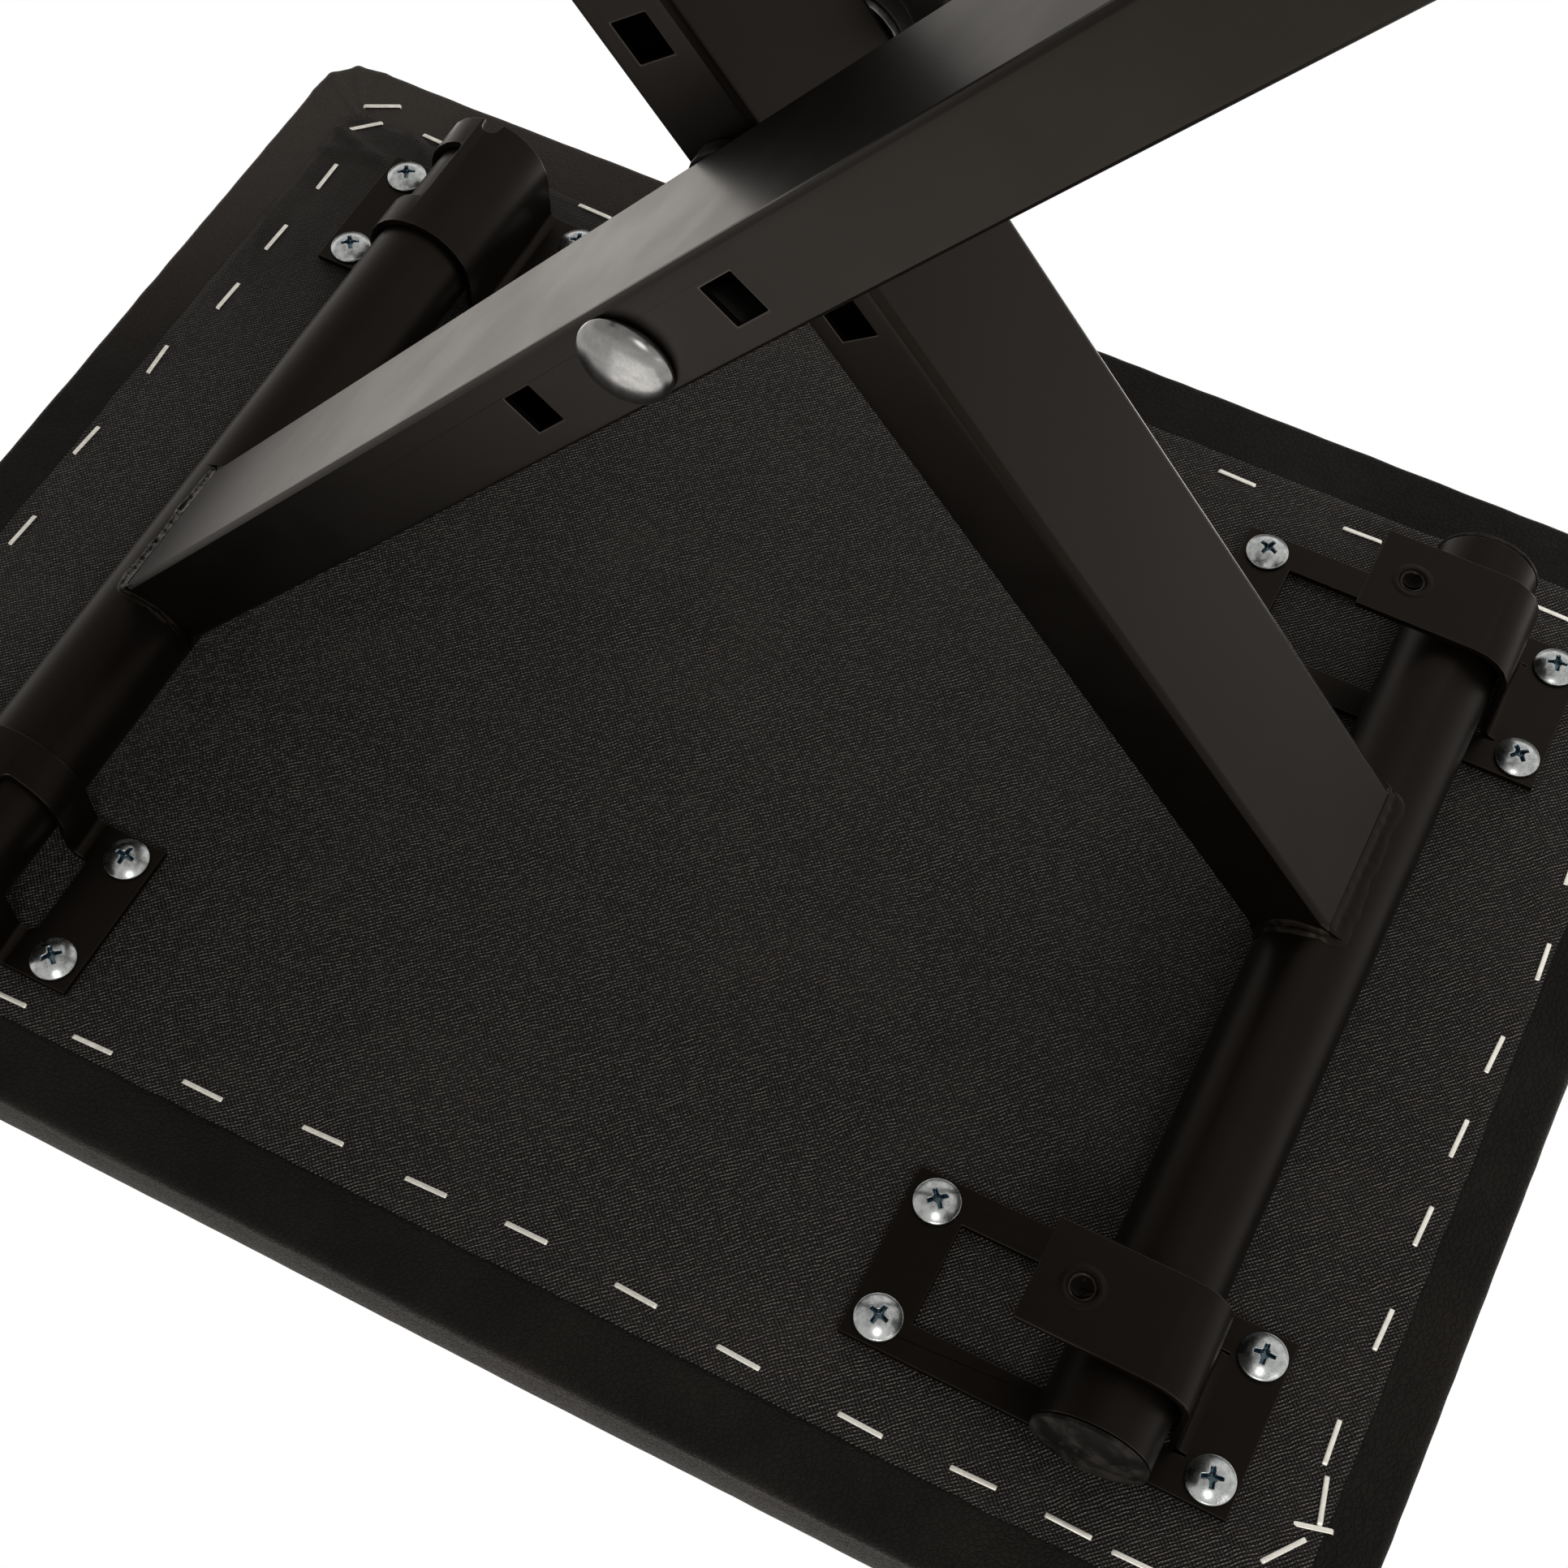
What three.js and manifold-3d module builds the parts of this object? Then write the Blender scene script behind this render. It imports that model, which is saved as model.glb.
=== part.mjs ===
// Folding keyboard bench: a padded seat on an X of two rectangular steel legs.
// Units are millimetres and +Z is up. The origin is on the floor, below the middle of the bench.
// X runs across the bench, from the hook side (negative) to the hinge side (positive).
// Y runs along the round tubes, from the front (negative) to the rear (positive).
//
// Each leg is welded between a round cross tube under the seat and a round foot bar on the floor.
// The hinge tube turns in two saddles that are screwed to the seat. The hook tube sits in two
// spring hooks, open towards the middle of the seat, and slides out of them to fold the bench.
// One carriage bolt joins the legs through the middle one of three square holes in each, and a
// lobed knob behind the legs clamps them.

import * as THREE from 'three';
import { mergeVertices } from 'three/addons/utils/BufferGeometryUtils.js';
import Module from 'manifold-3d';

// Clearances
const fitGap = 0.3; // between pieces that touch each other on the bench
const tubeRest = 0.4; // between a cross tube and the bracket plate that lies on it
const cutOverrun = 2; // how far a cutting tool reaches past the faces it cuts

// Outline of the seat, which the places of tubes and brackets follow
const seatLength = 508; // along X
const seatWidth = 380; // along Y

// Round tubes
const tubeRadius = 16;
const tubeWall = 1.5;
const tubeAxisInset = 80; // end of the seat to a cross tube's axis, as a mean of the two
const tubeEndInset = 40.5; // side of the seat to the end of a cross tube
const footBarExtra = 6; // how much longer a foot bar is than a cross tube
const frameOffset = -4; // middle between the cross tubes, from the middle of the seat

// Legs
const legDepth = 25; // across the leg, in the plane of the X
const legWidth = 50; // along the tubes
const legWall = 1.5;
const legCornerRadius = 2.5;
const legGap = 5; // between the two legs where they cross
const topArm = 277; // pivot to cross tube axis, along the leg
const footArm = 305; // pivot to foot bar axis, along the leg
const holePitch = 40; // the three bolt holes, along the leg
const holeSide = 11;
const weldRadius = 2.6; // of the bead that runs round each welded end

// Pivot bolt and what sits on it
const boltRadius = 4.9;
const boltHeadRadius = 12;
const boltHeadRise = 5.6;
const boltHeadRim = 0.8;
const boltNeckSide = 10.4;
const boltNeckLength = 6.5;
const boltTipChamfer = 1;
const boltStickOut = 2.5;
const spacerRadius = 13;
const washerRadius = 12.5;
const washerThickness = 2;
const knobRadius = 26;
const knobLobeDepth = 4;
const knobThickness = 16;
const knobEdge = 2.4;
const knobHubRadius = 13;
const knobHubHeight = 5;
const knobBossRadius = 9;
const knobBossRise = 1.5;

// Tube ends
const plugSkirt = 13; // how far a plug reaches into its tube
const plugRim = 1.2;
const plugDome = 2.2;
const plugWall = 1.8;
const footCapWall = 3;
const footCapLength = 34;
const footCapFloor = 3.2;
const footCapEdge = 1.6; // rounding of the closed end
const footCapFlat = 0.8; // taken off the round to stand on

// Brackets of pressed sheet
const sheet = 2.2;
const screwPitch = 36; // along the tube, in every flange
const screwHole = 5.4;
const hookInset = 69.5; // side of the seat to the middle of a hook bracket
const hookPlateWidth = 51.4;
const hookPlateInner = 71.3; // tube axis to the edge nearest the middle of the seat
const hookPlateOuter = 37.8;
const hookScrewInner = 63;
const hookScrewOuter = 30.4;
const hookWindowInner = 54.3; // tube axis to the end of the window that the tongue came from
const hookTongueWidth = 29.3;
const hookTongueInner = 29.6; // tube axis to the tip of the tongue
const hookShear = 0.6; // slit on each side of the tongue's root
const hookWallGap = 1.2; // tube to the upright wall of the hook
const hookHeadroom = 2.6; // tube to the tongue
const hookBendRadius = 10.5; // inside radius of the hook
const hookRootRadius = 2.8; // inside radius where the tongue leaves the plate
const hookRootOverlap = 3;
const dimplePlace = 17.3; // tube axis to the dimple
const dimpleRadius = 3.4;
const dimpleDepth = 1.8;
const dimpleBump = 1;
const saddleInset = 57.5; // side of the seat to the middle of a saddle
const saddleLength = 51;
const saddleFlangeOuter = 42;
const saddleScrew = 33.5;
const saddleBoreGap = 0.6; // tube to the inside of the saddle
const saddleRootRadius = 3;
const saddleWindowLength = 26;
const saddleWindowCrest = 4.5; // from the crest of the saddle to the window's edge
const saddleWindowCorner = 2;
const saddleWindowRoot = 23.5;
const saddleNotchWidth = 6.6;
const saddleNotchDepth = 5;

// Wood screws with round washer heads
const screwHeadRadius = 6.7;
const screwHeadRise = 3.4;
const screwHeadRim = 0.7;
const screwShankRadius = 2.3;
const screwShankLength = 15.5;
const screwTip = 3.5;
const recessSpan = 6;
const recessWidth = 1.3;
const recessDepth = 1.9;

// Seat
const seatCornerRadius = 20;
const dustCloth = 0.6;
const dustCoverInsetX = 15; // seat edge to the edge of the cloth
const dustCoverInsetY = 19.5;
const dustCoverCorner = 8;
const vinyl = 1.2;
const vinylLip = 34; // how far the vinyl is turned in under the board
const boardThickness = 12;
const seatEdgeRadius = 4.5; // round the board's lower edge, outside
const sideSwell = 1.6; // how far the side stands out above the board's edge
const shoulderStart = 20; // height at which the side begins to turn in
const shoulderReach = 33;
const shoulderRise = 32;
const crownRise = 8;

// Numbers of facets
const tubeSides = 36;
const smallSides = 24;
const screwSides = 16;
const shankSides = 8;
const bendSteps = 5;
const rootSteps = 4;
const saddleSteps = 14;
const cornerSteps = 2; // in each half of a rounded corner
const seatCornerSteps = 5;
const seatLongSteps = 4;
const seatShortSteps = 3;
const seatEdgeSteps = 3;
const shoulderSteps = 6;
const knobLobes = 7;
const knobLobeSteps = 5;
const knobEdgeSteps = 2;
const crownShares = [0.8, 0.55, 0.28];

// Sizes and places that follow from those above
const tubeSpacing = seatLength - 2 * tubeAxisInset;
const crossTubeLength = seatWidth - 2 * tubeEndInset;
const footBarLength = crossTubeLength + footBarExtra;
const hookStation = seatWidth / 2 - hookInset;
const saddleStation = seatWidth / 2 - saddleInset;
const lean = Math.asin(tubeSpacing / 2 / topArm); // of each leg, away from upright
const footCapRadius = tubeRadius + fitGap + footCapWall;
const footAxisHeight = footCapRadius - footCapFlat;
const pivotHeight = footAxisHeight + footArm * Math.cos(lean);
const tubeDepth = fitGap + sheet + tubeRest + tubeRadius; // seat underside to cross tube axis
const seatUnderside = pivotHeight + topArm * Math.cos(lean) + tubeDepth;
const legStation = (legGap + legWidth) / 2;
const hookTubeX = frameOffset - tubeSpacing / 2;
const hingeTubeX = frameOffset + tubeSpacing / 2;

const wasm = await Module();
wasm.setup();
const mergeTolerance = 1e-4;

// Closed solids from three.js geometry, with their faces turned outward.

function signedVolume(points, corners) {
  let sum = 0;
  const [a, b, c] = [new THREE.Vector3(), new THREE.Vector3(), new THREE.Vector3()];
  for (let i = 0; i < corners.length; i += 3) {
    a.fromArray(points, 3 * corners[i]);
    b.fromArray(points, 3 * corners[i + 1]);
    c.fromArray(points, 3 * corners[i + 2]);
    sum += a.dot(b.cross(c));
  }
  return sum;
}

function solid(geometry) {
  const bare = geometry.clone();
  bare.deleteAttribute('normal');
  bare.deleteAttribute('uv');
  const merged = mergeVertices(bare, mergeTolerance);
  const vertProperties = new Float32Array(merged.attributes.position.array);
  const index = merged.index.array;
  const corners = [];
  for (let i = 0; i < index.length; i += 3) {
    const [a, b, c] = [index[i], index[i + 1], index[i + 2]];
    if (a !== b && b !== c && c !== a) {
      corners.push(a, b, c);
    }
  }
  if (signedVolume(vertProperties, corners) < 0) {
    corners.reverse();
  }
  const triVerts = new Uint32Array(corners);
  return new wasm.Manifold(new wasm.Mesh({ numProp: 3, vertProperties, triVerts }));
}

function block(sizeX, sizeY, sizeZ, x, y, z) {
  return solid(new THREE.BoxGeometry(sizeX, sizeY, sizeZ).translate(x, y, z));
}

// An outline in the XZ plane, drawn out along Y and centred on it.
function drawnAlongY(shape, length) {
  const geometry = new THREE.ExtrudeGeometry(shape, { depth: length, bevelEnabled: false });
  return geometry.translate(0, 0, -length / 2).rotateX(Math.PI / 2);
}

// An outline in the XY plane, drawn out upward from z = 0.
function drawnUp(shape, height) {
  return new THREE.ExtrudeGeometry(shape, {
    depth: height,
    bevelEnabled: false,
    curveSegments: cornerSteps,
  });
}

// Straight chords along an arc of the outline, from one angle to another.
function bendTo(outline, x, y, radius, start, end, steps) {
  for (let step = 0; step <= steps; step += 1) {
    const angle = start + (end - start) * (step / steps);
    outline.lineTo(x + radius * Math.cos(angle), y + radius * Math.sin(angle));
  }
}

function rodAlongY(radius, length, x = 0, y = 0, z = 0, sides = tubeSides) {
  return solid(new THREE.CylinderGeometry(radius, radius, length, sides).translate(x, y, z));
}

function rodAlongZ(radius, length, x, y, z, sides = smallSides) {
  const rod = new THREE.CylinderGeometry(radius, radius, length, sides);
  return solid(rod.rotateX(Math.PI / 2).translate(x, y, z));
}

// A turned shape about Y from pairs of radius and height.
function lathed(pairs, sides) {
  return new THREE.LatheGeometry(pairs.map(([r, y]) => new THREE.Vector2(r, y)), sides);
}

function turned(pairs, sides = smallSides) {
  return solid(lathed(pairs, sides));
}

function roundedRectangle(halfX, halfY, radius) {
  const outline = new THREE.Shape();
  outline.moveTo(radius - halfX, -halfY);
  outline.lineTo(halfX - radius, -halfY);
  outline.absarc(halfX - radius, radius - halfY, radius, -Math.PI / 2, 0, false);
  outline.lineTo(halfX, halfY - radius);
  outline.absarc(halfX - radius, halfY - radius, radius, 0, Math.PI / 2, false);
  outline.lineTo(radius - halfX, halfY);
  outline.absarc(radius - halfX, halfY - radius, radius, Math.PI / 2, Math.PI, false);
  outline.lineTo(-halfX, radius - halfY);
  outline.absarc(radius - halfX, radius - halfY, radius, Math.PI, Math.PI * 1.5, false);
  return outline;
}

function finish(color, roughness, metalness) {
  return new THREE.MeshStandardMaterial({ color, roughness, metalness });
}

const powderCoat = () => finish(0x1b1917, 0.42, 0.35);
const zinc = () => finish(0xb9bec0, 0.3, 1);
const rubber = () => finish(0x161514, 0.8, 0);
const plastic = () => finish(0x1c1b1a, 0.62, 0);
const blackVinyl = () => finish(0x171616, 0.5, 0);

function piece(name, body, material) {
  const data = body.getMesh();
  const geometry = new THREE.BufferGeometry();
  geometry.setAttribute('position', new THREE.BufferAttribute(data.vertProperties, 3));
  geometry.setIndex(new THREE.BufferAttribute(data.triVerts, 1));
  geometry.computeVertexNormals();
  const mesh = new THREE.Mesh(geometry, material);
  mesh.name = name;
  return mesh;
}

// Seat pad: every soft or wooden piece is a stack of rounded rectangles in one order of points.

function seatLoop(inset, z, radius = Math.max(seatCornerRadius, inset + seatCornerRadius / 2)) {
  const [halfX, halfY] = [seatLength / 2 - inset, seatWidth / 2 - inset];
  const corners = [[1, -1, -0.5], [1, 1, 0], [-1, 1, 0.5], [-1, -1, 1]];
  const points = [];
  corners.forEach(([signX, signY, startTurn], corner) => {
    const [cx, cy] = [signX * (halfX - radius), signY * (halfY - radius)];
    for (let step = 0; step <= seatCornerSteps; step += 1) {
      const angle = Math.PI * (startTurn + step / seatCornerSteps / 2);
      points.push([cx + radius * Math.cos(angle), cy + radius * Math.sin(angle), z]);
    }
    const [lastX, lastY] = points.at(-1);
    const [nextSignX, nextSignY] = corners[(corner + 1) % corners.length];
    const alongY = nextSignX === signX;
    const nextX = alongY ? lastX : nextSignX * (halfX - radius);
    const nextY = alongY ? nextSignY * (halfY - radius) : lastY;
    const steps = alongY ? seatShortSteps : seatLongSteps;
    for (let step = 1; step < steps; step += 1) {
      const share = step / steps;
      points.push([lastX + (nextX - lastX) * share, lastY + (nextY - lastY) * share, z]);
    }
  });
  return points;
}

function scaledLoop(loop, share, z) {
  return loop.map(([x, y]) => [x * share, y * share, z]);
}

// A closed body whose skin runs from one point through the loops to another point.
function lofted(firstPoint, loops, lastPoint) {
  const count = loops[0].length;
  const points = [firstPoint, ...loops.flat(), lastPoint];
  const last = points.length - 1;
  const index = [];
  for (let i = 0; i < count; i += 1) {
    const j = (i + 1) % count;
    index.push(0, 1 + j, 1 + i);
    for (let row = 0; row < loops.length - 1; row += 1) {
      const [low, high] = [1 + row * count, 1 + (row + 1) * count];
      index.push(low + i, low + j, high + i, low + j, high + j, high + i);
    }
    const top = last - count;
    index.push(top + i, top + j, last);
  }
  const geometry = new THREE.BufferGeometry();
  geometry.setAttribute('position', new THREE.Float32BufferAttribute(points.flat(), 3));
  geometry.setIndex(index);
  return solid(geometry);
}

const lipBottom = dustCloth + fitGap;
const boardBottom = lipBottom + vinyl + fitGap;
const boardTop = boardBottom + boardThickness;
const edgeCentreHeight = lipBottom + seatEdgeRadius;

// Loops from under the board's edge to the crown, moved inward by depth from the outer skin.
function padSkin(depth) {
  const loops = [];
  const edgeRadius = seatEdgeRadius - depth;
  for (let step = 0; step <= seatEdgeSteps; step += 1) {
    const angle = (Math.PI / 2) * (step / seatEdgeSteps);
    const inset = seatEdgeRadius - edgeRadius * Math.sin(angle);
    loops.push(seatLoop(inset, edgeCentreHeight - edgeRadius * Math.cos(angle)));
  }
  const reach = shoulderReach + sideSwell - depth;
  const rise = shoulderRise - depth;
  for (let step = 0; step <= shoulderSteps; step += 1) {
    const angle = (Math.PI / 2) * (step / shoulderSteps);
    const inset = shoulderReach - reach * Math.cos(angle);
    loops.push(seatLoop(inset, shoulderStart + rise * Math.sin(angle)));
  }
  const plateau = loops.at(-1);
  const plateauHeight = shoulderStart + rise;
  for (const share of crownShares) {
    loops.push(scaledLoop(plateau, share, plateauHeight + crownRise * (1 - share * share)));
  }
  return { loops, crown: [0, 0, plateauHeight + crownRise] };
}

function seatCoverBody() {
  const outer = padSkin(0);
  const inner = padSkin(vinyl);
  const lipOuter = seatLoop(vinylLip, lipBottom, seatCornerRadius);
  const lipInner = seatLoop(vinylLip, lipBottom + vinyl, seatCornerRadius);
  const skin = [...outer.loops].reverse();
  return lofted(outer.crown, [...skin, lipOuter, lipInner, ...inner.loops], inner.crown);
}

function padFill() {
  const fill = padSkin(vinyl + fitGap);
  return lofted([0, 0, fill.loops[0][0][2]], fill.loops, fill.crown);
}

function seatFoamBody() {
  const floor = boardTop + fitGap;
  const above = block(seatLength, seatWidth, seatLength, 0, 0, floor + seatLength / 2);
  return padFill().intersect(above);
}

const screwPlaces = [];

function addScrewPlaces(name, tubeX, station, offsets) {
  for (const end of [-1, 1]) {
    offsets.forEach((offset) => {
      for (const side of [-1, 1]) {
        screwPlaces.push({
          name: `${name}_${end < 0 ? 'front' : 'rear'}`,
          x: tubeX + offset,
          y: end * station + (side * screwPitch) / 2,
        });
      }
    });
  }
}

addScrewPlaces('hook_screw', hookTubeX, hookStation, [hookScrewInner, -hookScrewOuter]);
addScrewPlaces('saddle_screw', hingeTubeX, saddleStation, [-saddleScrew, saddleScrew]);

const pilotRadius = screwShankRadius + fitGap;

function drilled(body, low, high) {
  const length = high - low + 2 * cutOverrun;
  return screwPlaces.reduce((rest, { x, y }) => {
    const drill = rodAlongZ(pilotRadius, length, x, y, (low + high) / 2, shankSides);
    return rest.subtract(drill);
  }, body);
}

function seatBoardBody() {
  const below = block(seatLength, seatWidth, seatLength, 0, 0, boardTop - seatLength / 2);
  return drilled(padFill().intersect(below), boardBottom, boardTop);
}

function dustCoverBody() {
  const [halfX, halfY] = [seatLength / 2 - dustCoverInsetX, seatWidth / 2 - dustCoverInsetY];
  const outline = roundedRectangle(halfX, halfY, dustCoverCorner);
  return drilled(solid(drawnUp(outline, dustCloth)), 0, dustCloth);
}

// Brackets, in a frame of their own: x = 0 and y = 0 at the middle of the tube, z = 0 at the
// underside of the seat, and +x towards the nearer end of the seat.

const quarter = Math.PI / 2;
const plateTop = -fitGap;
const plateBottom = plateTop - sheet;
const tubeAxisDrop = -tubeDepth;

function screwHolesCut(body, offsets) {
  return offsets.reduce((rest, x) => {
    const pair = [-1, 1].map((side) => {
      const length = sheet + 2 * cutOverrun;
      return rodAlongZ(screwHole / 2, length, x, (side * screwPitch) / 2, plateTop - sheet / 2);
    });
    return rest.subtract(pair[0]).subtract(pair[1]);
  }, body);
}

// Side view of the tongue: out of the plate, down past the tube and back under it.
function tongueProfile() {
  const inside = tubeRadius + hookWallGap; // face of the wall towards the tube
  const outside = inside + sheet;
  const innerFace = tubeAxisDrop - tubeRadius - hookHeadroom;
  const outerFace = innerFace - sheet;
  const bend = hookBendRadius;
  const rootOuter = hookRootRadius + sheet;
  const plateEnd = outside + hookRootRadius + hookRootOverlap;
  const profile = new THREE.Shape();
  profile.moveTo(plateEnd, plateTop);
  profile.lineTo(outside + hookRootRadius, plateTop);
  bendTo(profile, outside + hookRootRadius, plateTop - rootOuter, rootOuter, quarter, 2 * quarter, rootSteps);
  bendTo(profile, inside - bend, innerFace + bend, bend, 0, -quarter, bendSteps);
  profile.lineTo(-hookTongueInner, innerFace);
  profile.lineTo(-hookTongueInner, outerFace);
  bendTo(profile, inside - bend, innerFace + bend, bend + sheet, -quarter, 0, bendSteps);
  const rootHeight = plateBottom - hookRootRadius;
  bendTo(profile, outside + hookRootRadius, rootHeight, hookRootRadius, 2 * quarter, quarter, rootSteps);
  profile.lineTo(plateEnd, plateBottom);
  profile.closePath();
  return { profile, outerFace, innerFace, plateEnd };
}

function ball(radius, x, y, z) {
  return solid(new THREE.SphereGeometry(radius, screwSides, screwSides / 2).translate(x, y, z));
}

// Radius of the ball whose cap has this rise and this radius at its foot.
function capBallRadius(footRadius, rise) {
  return (footRadius * footRadius + rise * rise) / (2 * rise);
}

function hookBracketBody() {
  const { profile, outerFace, innerFace, plateEnd } = tongueProfile();
  const plateLength = hookPlateInner + hookPlateOuter;
  const plateMiddle = (hookPlateOuter - hookPlateInner) / 2;
  const plate = block(plateLength, hookPlateWidth, sheet, plateMiddle, 0, plateTop - sheet / 2);
  const windowEnd = plateEnd - hookRootOverlap;
  const windowLength = hookWindowInner + windowEnd;
  const window = block(
    windowLength,
    hookTongueWidth + 2 * hookShear,
    sheet + 2 * cutOverrun,
    (windowEnd - hookWindowInner) / 2,
    0,
    plateTop - sheet / 2,
  );
  const tongue = solid(drawnAlongY(profile, hookTongueWidth));
  const bumpBall = capBallRadius(dimpleRadius, dimpleBump);
  const bump = ball(bumpBall, -dimplePlace, 0, innerFace + dimpleBump - bumpBall);
  const tongueRoom = block(plateLength, hookTongueWidth, sheet + dimpleBump, -dimplePlace, 0,
    outerFace + (sheet + dimpleBump) / 2);
  const dentBall = capBallRadius(dimpleRadius, dimpleDepth);
  const dent = ball(dentBall, -dimplePlace, 0, outerFace + dimpleDepth - dentBall);
  const pressed = tongue.add(bump.intersect(tongueRoom)).subtract(dent);
  return screwHolesCut(plate.subtract(window).add(pressed), [-hookScrewInner, hookScrewOuter]);
}

// End view of the saddle: flange, wall, half round over the tube, wall and flange.
function saddleProfile() {
  const inner = tubeRadius + saddleBoreGap;
  const outer = inner + sheet;
  const root = saddleRootRadius;
  const foot = outer + root;
  const profile = new THREE.Shape();
  profile.moveTo(saddleFlangeOuter, plateTop);
  const rootHeight = plateBottom - root;
  bendTo(profile, foot, rootHeight, root + sheet, quarter, 2 * quarter, rootSteps);
  bendTo(profile, 0, tubeAxisDrop, inner, 0, -2 * quarter, saddleSteps);
  bendTo(profile, -foot, rootHeight, root + sheet, 0, quarter, rootSteps);
  profile.lineTo(-saddleFlangeOuter, plateTop);
  profile.lineTo(-saddleFlangeOuter, plateBottom);
  bendTo(profile, -foot, rootHeight, root, quarter, 0, rootSteps);
  bendTo(profile, 0, tubeAxisDrop, outer, 2 * quarter, 4 * quarter, saddleSteps);
  bendTo(profile, foot, rootHeight, root, 2 * quarter, quarter, rootSteps);
  profile.lineTo(saddleFlangeOuter, plateBottom);
  profile.closePath();
  return { profile, outer };
}

function saddleBracketBody() {
  const { profile, outer } = saddleProfile();
  const saddle = solid(drawnAlongY(profile, saddleLength));
  const windowHalf = (saddleWindowRoot - saddleWindowCrest) / 2;
  const windowOutline = roundedRectangle(windowHalf, saddleWindowLength / 2, saddleWindowCorner);
  const reach = tubeDepth + outer + 2 * cutOverrun;
  const windowTool = drawnUp(windowOutline, reach);
  const window = solid(windowTool.translate(saddleWindowCrest + windowHalf, 0, cutOverrun - reach));
  const notchHalf = saddleNotchWidth / 2;
  const notchOutline = roundedRectangle(notchHalf, saddleNotchDepth, notchHalf);
  const notch = solid(drawnUp(notchOutline, outer + cutOverrun).translate(
    0, saddleLength / 2, tubeAxisDrop - outer - cutOverrun));
  return screwHolesCut(saddle.subtract(window).subtract(notch), [-saddleScrew, saddleScrew]);
}

// Wood screw, standing in its hole: z = 0 under the head, the head hangs down.
function screwBody() {
  const pairs = [[0, -screwHeadRise]];
  const domeRise = screwHeadRise - screwHeadRim;
  const steps = 3;
  for (let step = 1; step <= steps; step += 1) {
    const angle = (Math.PI / 2) * (step / steps);
    pairs.push([screwHeadRadius * Math.sin(angle), -screwHeadRim - domeRise * Math.cos(angle)]);
  }
  pairs.push([screwHeadRadius, 0], [0, 0]);
  const underHead = -screwHeadRim;
  const shank = [
    [0, underHead],
    [screwShankRadius, underHead],
    [screwShankRadius, screwShankLength - screwTip],
    [0, screwShankLength],
  ];
  const [head, rod] = [lathed(pairs, screwSides), lathed(shank, shankSides)];
  const blank = solid(head.rotateX(quarter)).add(solid(rod.rotateX(quarter)));
  const cutHeight = 2 * recessDepth;
  const armX = block(recessSpan, recessWidth, cutHeight, 0, 0, -screwHeadRise);
  const armY = block(recessWidth, recessSpan, cutHeight, 0, 0, -screwHeadRise);
  return blank.subtract(armX).subtract(armY);
}

// Round tube along Y, open at both ends.
function tubeBody(length) {
  const bore = rodAlongY(tubeRadius - tubeWall, length + 2 * cutOverrun);
  return rodAlongY(tubeRadius, length).subtract(bore);
}

// Leg: z = 0 at the pivot, +z along the leg towards the seat, y = 0 in the middle of its width.
function legSection(inset, length, middle) {
  const outline = roundedRectangle(legDepth / 2 - inset, legWidth / 2 - inset, legCornerRadius - inset);
  return solid(drawnUp(outline, length).translate(0, 0, middle - length / 2));
}

// Bead round one end of the leg: two straight runs and one arc on each edge of the leg.
function weldBody(tubeHeight, towardsPivot) {
  const standOff = Math.sqrt(tubeRadius * tubeRadius - (legDepth * legDepth) / 4);
  const beadHeight = tubeHeight + towardsPivot * (standOff + weldRadius / 4);
  const beadSides = 8;
  const side = legDepth / 2 + weldRadius / 4;
  const run = legWidth + weldRadius;
  const straight = [-1, 1].map((sign) => rodAlongY(weldRadius, run, sign * side, 0, beadHeight, beadSides));
  const arcs = [-1, 1].map((sign) => {
    const ring = new THREE.TorusGeometry(tubeRadius + weldRadius / 4, weldRadius, beadSides, tubeSides);
    ring.rotateX(Math.PI / 2).translate(0, (sign * legWidth) / 2, tubeHeight);
    const halfReach = tubeRadius + 2 * weldRadius;
    const room = block(legDepth + weldRadius, legWidth * 2, halfReach, 0, 0,
      tubeHeight + towardsPivot * (standOff / 2 + halfReach / 2));
    return solid(ring).intersect(room);
  });
  return straight[0].add(straight[1]).add(arcs[0]).add(arcs[1]);
}

function legBody() {
  const length = topArm + footArm;
  const middle = (topArm - footArm) / 2;
  const blank = legSection(0, length, middle)
    .add(weldBody(topArm, -1))
    .add(weldBody(-footArm, 1));
  const hollow = legSection(legWall, length + 2 * cutOverrun, middle);
  const coped = [topArm, -footArm].reduce((rest, height) => {
    return rest.subtract(rodAlongY(tubeRadius + fitGap, legWidth * 2, 0, 0, height));
  }, blank.subtract(hollow));
  return [-1, 0, 1].reduce((rest, hole) => {
    return rest.subtract(block(holeSide, legWidth + 2 * cutOverrun, holeSide, 0, 0, hole * holePitch));
  }, coped);
}

// Domed plug, y = 0 at the tube's end and +y outward.
function plugBody() {
  const skirt = tubeRadius - tubeWall - fitGap;
  const steps = 2;
  const inside = skirt - plugWall;
  const pairs = [[0, fitGap], [inside, fitGap], [inside, -plugSkirt], [skirt, -plugSkirt]];
  pairs.push([skirt, fitGap], [tubeRadius, fitGap], [tubeRadius, fitGap + plugRim]);
  for (let step = 1; step < steps; step += 1) {
    const angle = (Math.PI / 2) * (step / steps);
    pairs.push([tubeRadius * Math.cos(angle), fitGap + plugRim + plugDome * Math.sin(angle)]);
  }
  pairs.push([0, fitGap + plugRim + plugDome]);
  return turned(pairs, tubeSides);
}

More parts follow.
